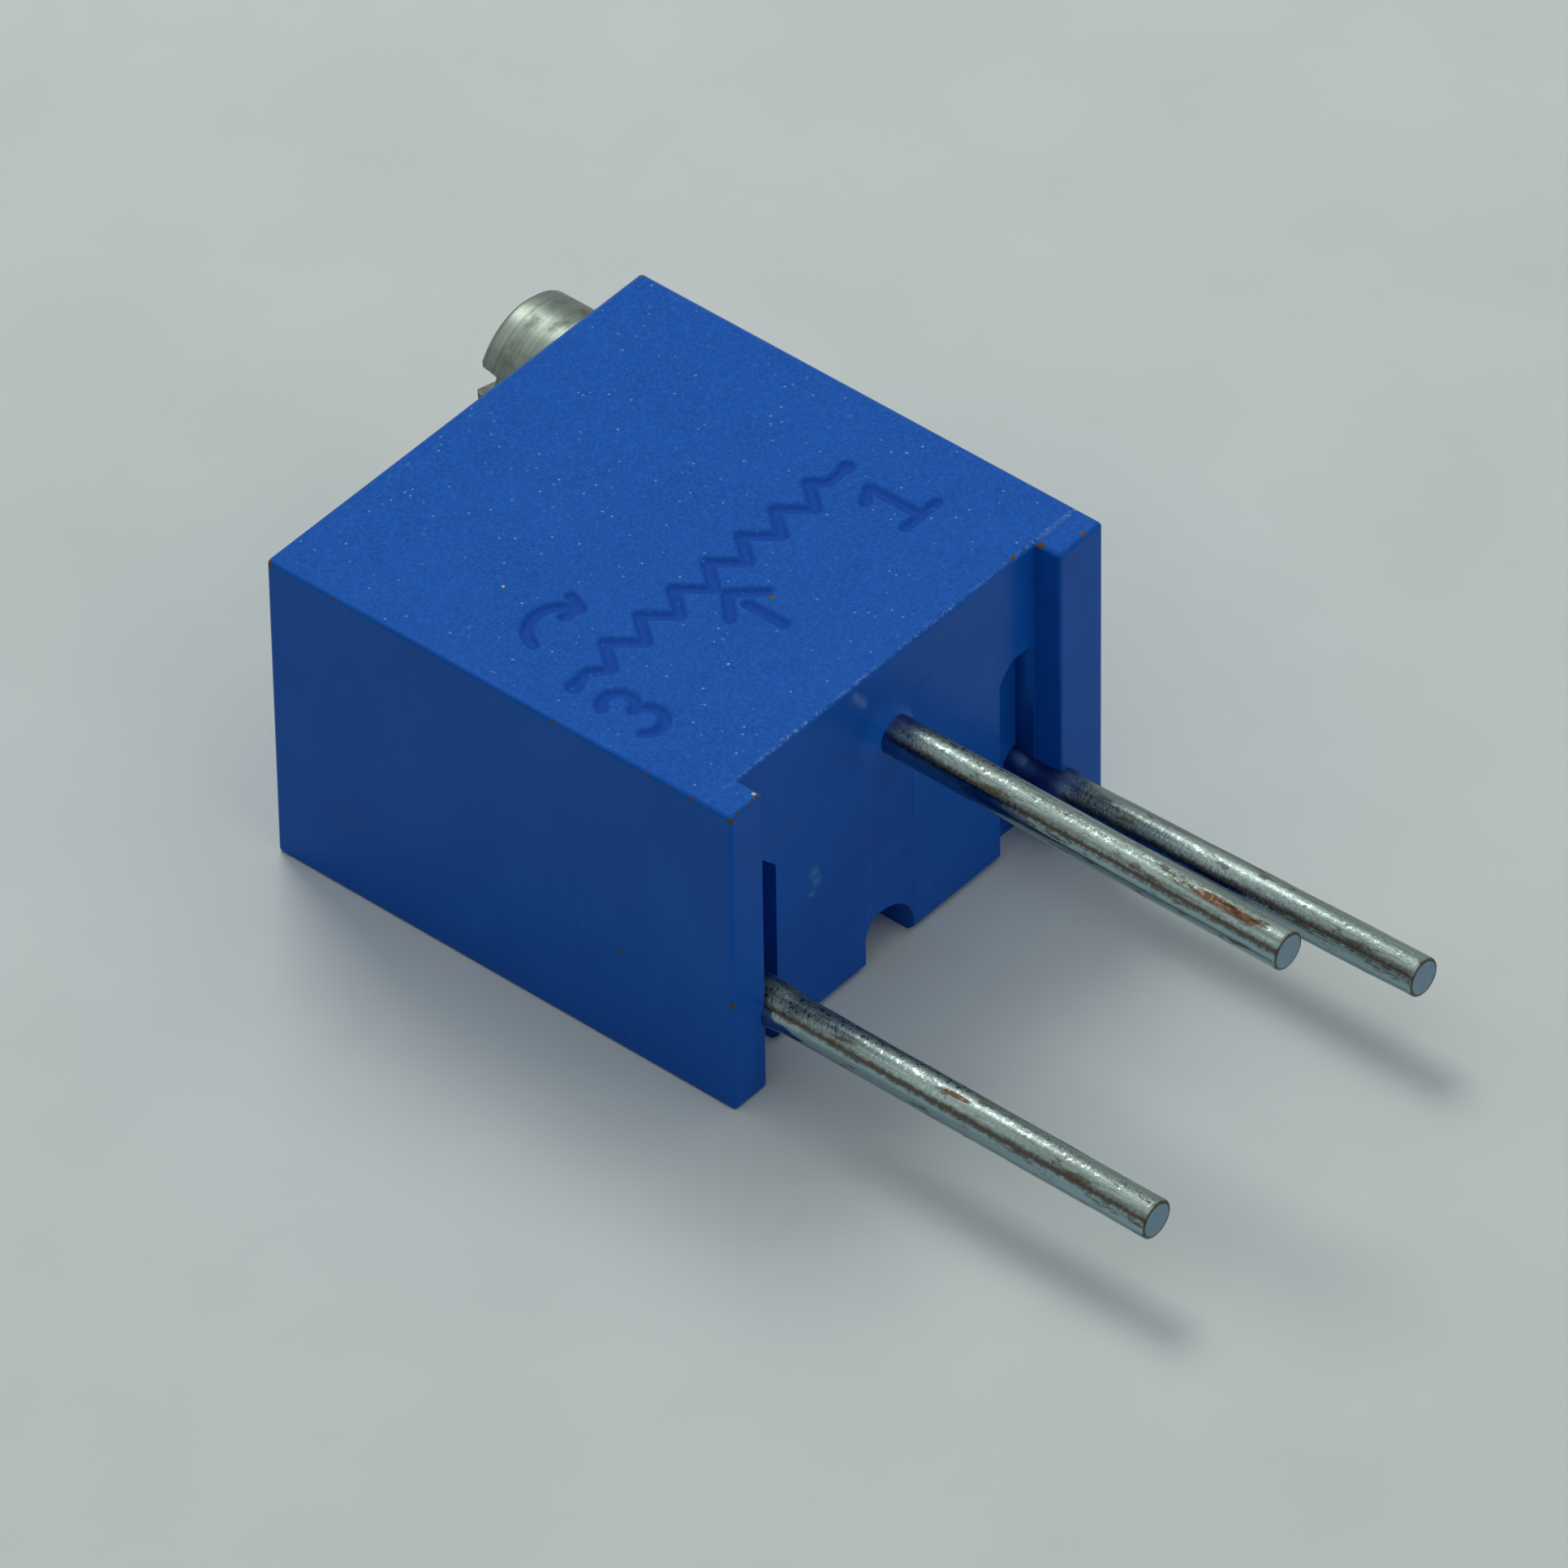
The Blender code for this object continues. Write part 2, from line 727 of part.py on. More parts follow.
def thread_shape():
    """A trapezoid wound round the screw as a right-hand helix, its crest opposite the gear at the rotor's level."""
    flat = thread_lead / 2 - backlash / 2
    foot = root_radius - mesh_clearance
    half_foot = flat / 2 + (worm_pitch_radius - foot) * math.tan(pressure_angle)
    half_crest = flat / 2 - (thread_radius - worm_pitch_radius) * math.tan(pressure_angle)
    turns = math.ceil(worm_length / thread_lead) + 1
    start = -turns / 2 * thread_lead
    shape = bmesh.new()
    section = [(foot, -half_foot), (foot, half_foot), (thread_radius, half_crest), (thread_radius, -half_crest)]
    lift = rotor_y + start
    angle = math.pi - turns * math.pi
    corners = [
        shape.verts.new((r * math.cos(angle), r * math.sin(angle), lift + z)) for r, z in section
    ]
    face = shape.faces.new(corners)
    steps = turns * thread_steps
    bmesh.ops.spin(
        shape,
        geom=[face],
        cent=(0, 0, 0),
        axis=(0, 0, 1),
        dvec=(0, 0, thread_lead / thread_steps),
        angle=2 * math.pi * turns,
        steps=steps,
        use_duplicate=False,
    )
    return shape


def build_screw():
    """The screw turned about its own Z axis, which then lies along Y."""
    screw = turned("adjusting_screw", screw_profile(), parts, nickel_brass)
    screw.location = (screw_x, 0, screw_z)
    screw.rotation_euler = (-math.pi / 2, 0, 0)
    thread = as_cutter(place_mesh("add_thread", thread_shape(), cutters))
    limits = box_shape(
        (-head_radius, -head_radius, worm_low + mesh_clearance),
        (head_radius, head_radius, worm_high + mesh_clearance),
    )
    ends = as_cutter(place_mesh("keep_thread_length", limits, cutters))
    boolean(thread, ends, "INTERSECT")
    boolean(screw, thread, "UNION")
    slot = box_shape(
        (-head_radius * 2, -slot_width / 2, head_high - slot_depth),
        (head_radius * 2, slot_width / 2, head_high + overrun),
    )
    bmesh.ops.rotate(slot, matrix=Matrix.Rotation(slot_turn, 3, "Z"), verts=slot.verts)
    blade = cut_with(screw, "cut_driver_slot", slot)
    for helper in (thread, ends, blade):
        helper.parent = screw
    return screw


def build_o_ring(screw):
    middle = o_ring_groove_radius + seat_gap + o_ring_section / 2
    section = arc((middle, 0), o_ring_section / 2, math.pi / 2, -3 * math.pi / 2, arc_steps)
    ring = turned("o_ring", section, parts, black_rubber, small_steps * 2)
    ring.location = (0, 0, o_ring_y)
    ring.parent = screw
    return ring


def build_clip():
    """A flat U clip dropped over the groove from the open back, its legs standing on the substrate."""
    inner = clip_groove_radius + running_gap
    foot = substrate_high + running_gap
    top = screw_z + clip_rise
    corner = clip_half_width / 6
    outline = [(screw_x + inner, foot)]
    outline += arc((screw_x, screw_z), inner, 0, math.pi)
    outline += [
        (screw_x - inner, foot),
        (screw_x - clip_half_width, foot),
        (screw_x - clip_half_width, top - corner),
        (screw_x - clip_half_width + corner, top),
        (screw_x + clip_half_width - corner, top),
        (screw_x + clip_half_width, top - corner),
        (screw_x + clip_half_width, foot),
    ]
    shape = across(outline, clip_y - clip_thickness / 2, clip_y + clip_thickness / 2)
    return place_mesh("retaining_clip", shape, parts, spring_steel)


# Substrate and films
def via_place(number):
    """Where a filled hole passes through the substrate, in plan."""
    if number == 2:
        return rotor_x, rotor_y
    side = 1 if number == 1 else -1
    angle = math.pi / 2 - side * via_angle
    return rotor_x + track_radius * math.cos(angle), rotor_y + track_radius * math.sin(angle)


def build_substrate():
    margin = running_gap
    shape = box_shape(
        (-cavity_side + margin, cavity_front + margin, substrate_low),
        (cavity_side - margin, cavity_back - margin, substrate_high),
    )
    substrate = place_mesh("substrate", shape, parts, alumina)
    for number in (1, 2, 3):
        x, y = via_place(number)
        hole = drum_shape(
            via_radius + seat_gap,
            (x, y, substrate_low - overrun),
            (x, y, substrate_high + overrun),
            small_steps,
        )
        cut_with(substrate, f"cut_via_{number}", hole)
        plug = drum_shape(via_radius, (x, y, substrate_low), (x, y, substrate_high), small_steps)
        place_mesh(f"via_{number}", plug, parts, silver_film)
    return substrate


def build_films():
    centre = (rotor_x, rotor_y)
    inner, outer = track_radius - track_width / 2, track_radius + track_width / 2
    start, end = math.pi / 2 - track_half_angle, math.pi / 2 + track_half_angle
    track = sector(centre, inner, outer, start, end, 4 * arc_steps)
    place_mesh("resistive_track", upright(track, film_low, film_high), parts, cermet)
    gap_angle = seat_gap / track_radius
    for number, edge, turn in ((1, start, -1), (3, end, 1)):
        pad = sector(centre, inner, outer, edge + turn * gap_angle, edge + turn * end_pad_angle)
        place_mesh(f"end_pad_{number}", upright(pad, film_low, film_high), parts, silver_film)
    collector = drum_shape(collector_radius, (*centre, film_low), (*centre, film_high))
    place_mesh("collector", collector, parts, silver_film)


def land_box(number):
    """The solder land on the substrate's back, from the filled hole to the pin."""
    via_x, via_y = via_place(number)
    reach = via_radius + land_margin
    pin_at = {1: pin_x, 2: 0.0, 3: -pin_x}[number]
    low_x = max(min(via_x, pin_at) - reach, -cavity_side + 2 * running_gap)
    high_x = min(max(via_x, pin_at) + reach, cavity_side - 2 * running_gap)
    middle_y = rotor_y if number == 2 else outer_land_y
    low_y = min(middle_y - land_half_depth, via_y - reach)
    high_y = max(middle_y + land_half_depth, via_y + reach)
    return (low_x, low_y, land_low), (high_x, high_y, land_high)


def build_lands():
    for number in (1, 2, 3):
        place_mesh(f"back_pad_{number}", box_shape(*land_box(number)), parts, silver_film)


# Pins, solder and resin
middle_pin_end = rotor_y + solder_half_length / 3


def pin_path(number):
    """A pin's centre line, from its inner end to its tip."""
    if number == 2:
        bend = pin_bend_radius
        low, high = outer_pin_height, middle_pin_height
        lower = arc((channel_wire_y + bend, low + bend), bend, -math.pi / 2, -math.pi, 8)
        upper = arc((channel_wire_y - bend, high - bend), bend, 0, math.pi / 2, 8)
        ends = [(middle_pin_end, low)] + lower + upper + [(seat_y - pin_2_reach, high)]
        return [(0, y, z) for y, z in ends]
    if number == 3:
        ends = [(outer_pin_end, outer_pin_height), (seat_y - pin_3_reach, outer_pin_height)]
        return [(-pin_x, y, z) for y, z in ends]
    exit_height = outer_pin_height - pin_1_dip
    ends = [
        (outer_pin_end, outer_pin_height),
        (cavity_front - pin_1_straight, outer_pin_height),
        (-half_depth, exit_height),
        (seat_y - pin_1_reach, exit_height + pin_1_tip_rise),
    ]
    return [(pin_x, y, z) for y, z in ends]


def build_pins():
    for number in (1, 2, 3):
        wire(f"terminal_pin_{number}", pin_path(number), pin_radius, tinned_copper)


def solder_place(number):
    if number == 2:
        return 0.0, middle_pin_end - solder_half_length / 3
    return (pin_x if number == 1 else -pin_x), outer_pin_end - solder_half_length / 3


def solder_ball(number, growth):
    """The joint's rounded form, centred on the land, or the same grown all round."""
    x, y = solder_place(number)
    depth = solder_high - outer_pin_height + pin_radius + solder_below_pin
    shape = bmesh.new()
    bmesh.ops.create_uvsphere(shape, u_segments=small_steps, v_segments=small_steps // 2, radius=1.0)
    size = (pin_radius + solder_wrap + growth, solder_half_length + growth, depth + growth)
    bmesh.ops.scale(shape, vec=size, verts=shape.verts)
    bmesh.ops.translate(shape, vec=(x, y, solder_high), verts=shape.verts)
    return shape


def pin_room(number, gap):
    """The straight inner stretch of a pin, grown by the gap and open upwards."""
    x, _ = solder_place(number)
    end = (middle_pin_end if number == 2 else outer_pin_end) + gap
    reach = pin_radius + gap
    outline = arc((x, outer_pin_height), reach, -math.pi, 0, pin_steps // 2)
    outline += [(x + reach, land_high + overrun), (x - reach, land_high + overrun)]
    return across(outline, seat_y, end)


def build_solder():
    for number in (1, 2, 3):
        joint = place_mesh(f"solder_{number}", solder_ball(number, 0), parts, solder_alloy)
        x, y = solder_place(number)
        reach = 2 * solder_half_length
        above = box_shape((x - reach, y - reach, solder_high), (x + reach, y + reach, solder_high + reach * 2))
        cut_with(joint, f"cut_above_{number}", above)
        end = (middle_pin_end if number == 2 else outer_pin_end) + seat_gap
        pin_hole = drum_shape(
            pin_radius + seat_gap, (x, seat_y, outer_pin_height), (x, end, outer_pin_height), pin_steps
        )
        cut_with(joint, f"cut_solder_pin_{number}", pin_hole)


def build_potting():
    """The resin that closes the back, with a tongue into the middle pin's slot."""
    side, low, high = cavity_side - seat_gap, cavity_front + seat_gap, cavity_back - seat_gap
    tongue = pin_radius + running_gap - seat_gap
    tongue_end = -half_depth + channel_depth + seat_gap
    outline = [
        (-side, high),
        (-side, low),
        (-tongue, low),
        (-tongue, tongue_end),
        (tongue, tongue_end),
        (tongue, low),
        (side, low),
        (side, high),
    ]
    potting = place_mesh("potting", upright(outline, 0, potting_high), parts, blue_resin)
    for number in (1, 2, 3):
        cut_with(potting, f"cut_potting_solder_{number}", solder_ball(number, seat_gap * 2))
        cut_with(potting, f"cut_potting_pin_{number}", pin_room(number, seat_gap * 1.5))
    return potting


def build_seal():
    """The resin that fills the middle channel over its bent wire, arched at its foot."""
    outline = channel_outline(channel_half_width - seat_gap, 0, channel_top - seat_gap, arched=True)
    filling = across(outline, -half_depth + seal_sink, -half_depth + channel_depth - seat_gap)
    seal = place_mesh("pin_2_seal", filling, parts, blue_resin)
    boolean(seal, wire_cutter("cut_seal_wire", pin_path(2), pin_radius + seat_gap))


def main():
    build_housing()
    rotor = build_rotor()
    build_wiper(rotor)
    screw = build_screw()
    build_o_ring(screw)
    build_clip()
    build_substrate()
    build_films()
    build_lands()
    build_pins()
    build_solder()
    build_potting()
    build_seal()


main()
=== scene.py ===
# %% [markdown]
# # A multi-turn trimming potentiometer
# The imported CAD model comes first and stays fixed: it says where every piece is. This lesson dresses it, one piece
# and one finish at a time, for someone who is learning Blender. Everything is in metres, with +Y out of the screw
# face, +Z out of the marked face, and the potted back on the floor at z = 0.

# %% Load the frame
import json
import math

import bmesh
import bpy
import numpy as np
from mathutils import Matrix, Vector


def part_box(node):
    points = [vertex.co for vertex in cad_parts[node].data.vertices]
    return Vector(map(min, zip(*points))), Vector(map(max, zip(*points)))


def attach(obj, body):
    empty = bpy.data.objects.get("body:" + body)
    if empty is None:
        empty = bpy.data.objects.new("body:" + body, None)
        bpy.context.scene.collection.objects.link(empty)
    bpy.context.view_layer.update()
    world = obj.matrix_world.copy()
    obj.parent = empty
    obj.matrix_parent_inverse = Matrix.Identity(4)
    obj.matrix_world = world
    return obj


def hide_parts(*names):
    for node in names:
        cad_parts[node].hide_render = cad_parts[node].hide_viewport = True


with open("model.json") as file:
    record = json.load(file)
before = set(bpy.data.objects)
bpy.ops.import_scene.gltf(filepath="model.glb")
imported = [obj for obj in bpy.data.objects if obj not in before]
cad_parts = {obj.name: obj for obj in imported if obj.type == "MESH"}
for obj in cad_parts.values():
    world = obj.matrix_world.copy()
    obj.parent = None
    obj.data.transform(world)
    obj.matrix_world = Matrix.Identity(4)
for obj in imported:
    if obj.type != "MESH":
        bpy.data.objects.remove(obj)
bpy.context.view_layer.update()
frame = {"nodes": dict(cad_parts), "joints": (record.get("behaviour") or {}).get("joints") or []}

MM = 0.001

# %% [markdown]
# ## The camera
# A small part is photographed through a long lens, so its edges stay nearly parallel. The camera stands 200 mm
# away, and is aimed a little beside the part, as in the picture, rather than shifted.

# %% Camera
view_azimuth = math.radians(-48.73)
view_elevation = math.radians(41.66)
view_roll = math.radians(-1.15)
view_distance = 200 * MM
image_pixels = 1932
pixels_per_mm = 106.70
part_middle = Vector((0, -0.18, 2.25)) * MM
part_middle_pixel = (846.8, 846.7)

towards_camera = Vector((
    math.sin(view_azimuth) * math.cos(view_elevation),
    -math.cos(view_azimuth) * math.cos(view_elevation),
    math.sin(view_elevation),
))
eye = part_middle + towards_camera * view_distance
level_right = Vector((math.cos(view_azimuth), math.sin(view_azimuth), 0))
level_up = towards_camera.cross(level_right)
image_right = level_right * math.cos(view_roll) + level_up * math.sin(view_roll)
image_up = level_up * math.cos(view_roll) - level_right * math.sin(view_roll)
aim_right = (image_pixels / 2 - part_middle_pixel[0]) / pixels_per_mm * MM
aim_down = (image_pixels / 2 - part_middle_pixel[1]) / pixels_per_mm * MM
aim = part_middle + image_right * aim_right - image_up * aim_down

backward = (eye - aim).normalized()
camera_right = image_up.cross(backward).normalized()
camera_up = backward.cross(camera_right)
turn = Matrix((camera_right, camera_up, backward)).transposed().to_4x4()

camera_data = bpy.data.cameras.new("camera")
camera_data.sensor_width = 36
camera_data.lens = pixels_per_mm * view_distance / MM / image_pixels * camera_data.sensor_width
camera_data.clip_start = 10 * MM
camera_data.clip_end = 10
camera = bpy.data.objects.new("camera", camera_data)
camera.matrix_world = Matrix.Translation(eye) @ turn
bpy.context.scene.collection.objects.link(camera)
bpy.context.scene.camera = camera
print("lens in mm:", round(camera_data.lens, 1))

# %% [markdown]
# ## Two small tools for materials
# Paint charts and photographs give colours as sRGB hex, but a shader reckons in linear light, so one function
# turns one into the other. The second adds a node, sets it up and plugs it in, and every material below is made
# with it. Sizes of patterns are given in millimetres and turned into a texture's scale. A finish is then built up
# as a painter would: a base colour, and coats over it, each with a mask that says where it lies.

# %% Colours and nodes
def linear(hex_colour):
    """sRGB hex to linear RGBA: a channel c under 0.04045 is c / 12.92, and above it ((c + 0.055) / 1.055) to 2.4."""
    channels = np.array([int(hex_colour[i : i + 2], 16) for i in (1, 3, 5)]) / 255
    light = np.where(channels <= 0.04045, channels / 12.92, ((channels + 0.055) / 1.055) ** 2.4)
    return (*light.tolist(), 1.0)


def add(tree, kind, inputs=None, **settings):
    """Adds one shader node: settings are its properties, and inputs are values or other nodes' sockets."""
    made = tree.nodes.new("ShaderNode" + kind)
    for name, value in settings.items():
        setattr(made, name, value)
    for name, value in (inputs or {}).items():
        if isinstance(value, bpy.types.NodeSocket):
            tree.links.new(value, made.inputs[name])
        else:
            made.inputs[name].default_value = value
    return made


def per(size_mm):
    """The scale of a texture whose cells or blotches are this many millimetres across."""
    return 1 / (size_mm * MM)


def start_material(name, **constants):
    """A material with its shader's constants set on the shader itself, and the piece's own coordinates."""
    material = bpy.data.materials.new(name)
    material.use_nodes = True
    tree = material.node_tree
    tree.nodes.clear()
    shader = add(tree, "BsdfPrincipled", {key.replace("_", " "): value for key, value in constants.items()})
    add(tree, "OutputMaterial", {"Surface": shader.outputs[0]})
    place = add(tree, "TexCoord").outputs["Object"]
    return material, tree, shader, place


# A Mix node has a set of sockets for each kind of data: these are the numbers of the ones for colours.
MIX_A, MIX_B, MIX_COLOUR = 6, 7, 2
print("the blue pigment in linear light:", [round(v, 3) for v in linear("#114FA8")])

# %% [markdown]
# ## Dirt, scuffs and worn edges
# The part has been handled: brown and gold specks lie on its edges, two scuffs and an ejector's scars mark the pin
# face, and the burr between the marked face and the pin face is worn pale. They could be painted on an image, but
# that would need a map of the housing laid flat. A list of places in millimetres does the same with spheres: what
# lies inside one is stained, and noise tears its outline.

# %% Places and radii in mm
marked_level = 4.50
pin_face_level = -3.30
brown_specks = [
    ((-3.29, -3.68, 4.45), 0.06), ((-3.16, -3.66, 4.49), 0.035), ((-2.82, -3.66, 4.48), 0.035),
    ((-2.95, -3.67, 4.48), 0.03), ((-3.29, 3.28, 4.44), 0.07), ((3.28, 3.27, 4.47), 0.08), ((3.00, -3.62, 4.48), 0.05),
    ((2.54, -3.37, 4.49), 0.06), ((2.17, -3.27, 4.49), 0.04), ((-3.28, 2.28, 4.47), 0.03), ((-3.30, -1.99, 1.53), 0.04),
    ((-2.10, -3.30, 3.13), 0.03), ((-1.88, -3.30, 3.21), 0.03), ((-0.10, -1.58, 4.48), 0.05),
    ((-3.28, -3.10, 4.47), 0.03), ((-3.28, -2.42, 4.47), 0.03), ((-3.28, -1.05, 4.47), 0.03),
    ((-3.30, -3.66, 1.62), 0.05),
]
gold_specks = [
    ((-1.75, -0.07, 4.50), 0.026), ((-1.92, 0.90, 4.50), 0.022), ((-2.80, -3.60, 4.50), 0.030),
    ((-1.30, -1.95, 4.50), 0.016),
]
pale_scuffs = [
    ((-0.67, -3.30, 4.34), 0.075), ((-0.64, -3.30, 4.29), 0.085), ((-0.60, -3.30, 4.24), 0.090),
    ((-0.57, -3.30, 4.19), 0.090), ((-0.53, -3.30, 4.14), 0.085), ((-0.50, -3.30, 4.09), 0.070),
    ((2.72, -3.60, 4.49), 0.05),
]
ejector_scars = [((-1.42, -3.30, 2.16), 0.12), ((-1.38, -3.30, 2.00), 0.11), ((-1.47, -3.30, 1.86), 0.08)]
print("brown specks:", len(brown_specks), "gold specks:", len(gold_specks))

# %% Masks made from those places
def add_specks(tree, place, specks, softness=0.35):
    """A mask of small soft spots: for each spot, 1 within its radius and 0 outside, and the largest wins."""
    ragged = add(tree, "TexNoise", {"Vector": place, "Scale": per(0.05), "Detail": 3.0})
    mask = None
    for middle, radius in specks:
        reach = add(tree, "VectorMath", {0: place, 1: [v * MM for v in middle]}, operation="DISTANCE")
        torn = add(tree, "Math", {
            0: ragged.outputs["Fac"], 1: radius * MM, 2: reach.outputs["Value"],
        }, operation="MULTIPLY_ADD")
        spot = add(tree, "MapRange", {
            "Value": torn.outputs[0],
            "From Min": radius * MM * 1.5,
            "From Max": radius * MM * (1.5 - softness),
        })
        if mask is None:
            mask = spot.outputs[0]
        else:
            mask = add(tree, "Math", {0: mask, 1: spot.outputs[0]}, operation="MAXIMUM").outputs[0]
    return mask


def add_resin_ring(tree, place):
    """A mask for the resin that crept out round the root of pin 2: 1 at the wire, 0 from half a millimetre away."""
    root = (-0.10 * MM, (pin_face_level - 0.01) * MM, 3.46 * MM)
    reach = add(tree, "VectorMath", {0: place, 1: root}, operation="DISTANCE")
    return add(tree, "MapRange", {
        "Value": reach.outputs["Value"], "From Min": 0.52 * MM, "From Max": 0.26 * MM, "To Max": 0.55,
    }).outputs[0]


def add_edge_wear(tree, place):
    """A mask for the thin burr where the marked face meets the pin face: near both faces, broken up by a fine
    noise, and stronger in some stretches than in others by a slow one."""
    axes = add(tree, "SeparateXYZ", {0: place})
    near_top = add(tree, "MapRange", {
        "Value": axes.outputs["Z"], "From Min": (marked_level - 0.045) * MM, "From Max": (marked_level - 0.010) * MM,
    })
    burr_level = pin_face_level + 0.015
    from_edge = add(tree, "Math", {0: axes.outputs["Y"], 1: -burr_level * MM}, operation="ADD")
    off_edge = add(tree, "Math", {0: from_edge.outputs[0]}, operation="ABSOLUTE")
    near_edge = add(tree, "MapRange", {
        "Value": off_edge.outputs[0], "From Min": 0.045 * MM, "From Max": 0.008 * MM,
    })
    fine = add(tree, "TexNoise", {"Vector": place, "Scale": per(0.045), "Detail": 5.0, "Roughness": 0.7})
    breaks = add(tree, "MapRange", {"Value": fine.outputs["Fac"], "From Min": 0.47, "From Max": 0.72})
    slow = add(tree, "TexNoise", {"Vector": place, "Scale": per(0.9), "Detail": 1.0})
    worn = add(tree, "MapRange", {
        "Value": slow.outputs["Fac"], "From Min": 0.35, "From Max": 0.62, "To Min": 0.15, "To Max": 1.0,
    })
    mask = near_top.outputs[0]
    for part in (near_edge, breaks, worn):
        mask = add(tree, "Math", {0: mask, 1: part.outputs[0]}, operation="MULTIPLY").outputs[0]
    return mask


# %% [markdown]
# ## The moulded blue plastic
# Housings like this are moulded in glass-filled PBT. The tool's face for the marked side was spark-eroded, which
# leaves a satin skin of tiny pits with a few glass ends that catch the light. The other sides came off a polished
# tool: they are darker to the eye, because they mirror what stands around them. Both start from the same pigment,
# but one material with a switch would be hard to follow, so each skin gets its own, and a face picks one.

# %% Satin marked face
satin_pbt, tree, shader, place = start_material(
    "glass_filled_pbt_spark_eroded", Roughness=0.78, IOR=1.5, Specular_IOR_Level=0.14
)
clouds = add(tree, "TexNoise", {"Vector": place, "Scale": per(1.1), "Detail": 2.0})
cloudy = add(tree, "MapRange", {"Value": clouds.outputs["Fac"], "From Min": 0.3, "From Max": 0.7})
# Spark erosion leaves pits some 0.03 mm across; they are drawn 0.04 mm across, so that the render can show them.
pits = add(tree, "TexNoise", {"Vector": place, "Scale": per(0.04), "Detail": 3.0, "Roughness": 0.6})
pitted = add(tree, "MapRange", {"Value": pits.outputs["Fac"], "From Min": 0.40, "From Max": 0.70})
# Glass ends: one in some cells of a 0.10 mm pattern, each about 0.03 mm across.
glass = add(tree, "TexVoronoi", {"Vector": place, "Scale": per(0.10), "Randomness": 1.0})
glass_near = add(tree, "MapRange", {"Value": glass.outputs["Distance"], "From Min": 0.20, "From Max": 0.08})
glass_draw = add(tree, "SeparateColor", {0: glass.outputs["Color"]})
glass_some = add(tree, "MapRange", {"Value": glass_draw.outputs[0], "From Min": 0.66, "From Max": 1.0, "To Max": 0.55})
glass_ends = add(tree, "Math", {0: glass_near.outputs[0], 1: glass_some.outputs[0]}, operation="MULTIPLY")
# Painted shade: the marks are darker, more and more from 0.01 to 0.05 mm below the face.
axes = add(tree, "SeparateXYZ", {0: place})
painted_groove_shade = add(tree, "MapRange", {
    "Value": axes.outputs["Z"], "From Min": (marked_level - 0.012) * MM, "From Max": (marked_level - 0.050) * MM,
    "To Max": 0.60,
})
colour = linear("#114FA8")
for mask, coat in (
    (cloudy.outputs[0], "#1653AC"),
    (pitted.outputs[0], "#2262BC"),
    (glass_ends.outputs[0], "#A9C0E4"),
    # The deep blue in the marks is painted shade.
    (painted_groove_shade.outputs[0], "#0A3C98"),
    (add_edge_wear(tree, place), "#86A8C8"),
    (add_specks(tree, place, gold_specks), "#D8C078"),
    (add_specks(tree, place, brown_specks), "#5E5430"),
):
    mixed = add(tree, "Mix", {0: mask, MIX_A: colour, MIX_B: linear(coat)}, data_type="RGBA")
    colour = mixed.outputs[MIX_COLOUR]
pit_bump = add(tree, "Bump", {"Height": pits.outputs["Fac"], "Distance": 0.006 * MM, "Strength": 0.8})
tree.links.new(colour, shader.inputs["Base Color"])
tree.links.new(pit_bump.outputs[0], shader.inputs["Normal"])
print("marked face:", satin_pbt.name, "with", len(tree.nodes), "nodes")

# %% Polished sides
polished_pbt, tree, shader, place = start_material(
    "glass_filled_pbt_polished", Roughness=0.25, IOR=1.5, Specular_IOR_Level=0.08
)
clouds = add(tree, "TexNoise", {"Vector": place, "Scale": per(1.6), "Detail": 2.0})
cloudy = add(tree, "MapRange", {"Value": clouds.outputs["Fac"], "From Min": 0.3, "From Max": 0.7})
# Hair-fine streaks along the way that the part left the tool; they are drawn 0.09 mm wide, so that they show.
streak_place = add(tree, "Mapping", {"Vector": place, "Scale": (1.0, 1.0, 0.08)})
streaks = add(tree, "TexNoise", {"Vector": streak_place.outputs[0], "Scale": per(0.09), "Detail": 3.0})
streaky = add(tree, "MapRange", {"Value": streaks.outputs["Fac"], "From Min": 0.60, "From Max": 0.80, "To Max": 0.30})
scuffs = add_specks(tree, place, pale_scuffs, softness=0.8)
scuffs = add(tree, "Math", {0: scuffs, 1: 0.17}, operation="MULTIPLY")
scars = add_specks(tree, place, ejector_scars, softness=0.9)
scars = add(tree, "Math", {0: scars, 1: 0.75}, operation="MULTIPLY")
colour = linear("#0B52AC")
for mask, coat in (
    (cloudy.outputs[0], "#1058B4"),
    (streaky.outputs[0], "#1F66BE"),
    (add_edge_wear(tree, place), "#8AACCA"),
    (scuffs.outputs[0], "#A9BED2"),
    (scars.outputs[0], "#3F80AE"),
    (add_resin_ring(tree, place), "#1A68CC"),
    (add_specks(tree, place, brown_specks), "#544A2E"),
):
    mixed = add(tree, "Mix", {0: mask, MIX_A: colour, MIX_B: linear(coat)}, data_type="RGBA")
    colour = mixed.outputs[MIX_COLOUR]
ripple = add(tree, "TexNoise", {"Vector": place, "Scale": per(0.5), "Detail": 3.0})
ripple_bump = add(tree, "Bump", {"Height": ripple.outputs["Fac"], "Distance": 0.010 * MM, "Strength": 0.6})
tree.links.new(colour, shader.inputs["Base Color"])
tree.links.new(ripple_bump.outputs[0], shader.inputs["Normal"])
print("sides:", polished_pbt.name, "with", len(tree.nodes), "nodes")

# %% [markdown]
# ## The cast resin
# The back and the channel of the middle pin are filled with blue epoxy. It sets with a glossy skin that is a
# little clearer and darker than the plastic round it, with small bubbles below. Real depth would need light that
# goes into the material, which is slow and can't be told from this at such a size: dark spots stand for the
# bubbles, and a thin coat gives the wet look.

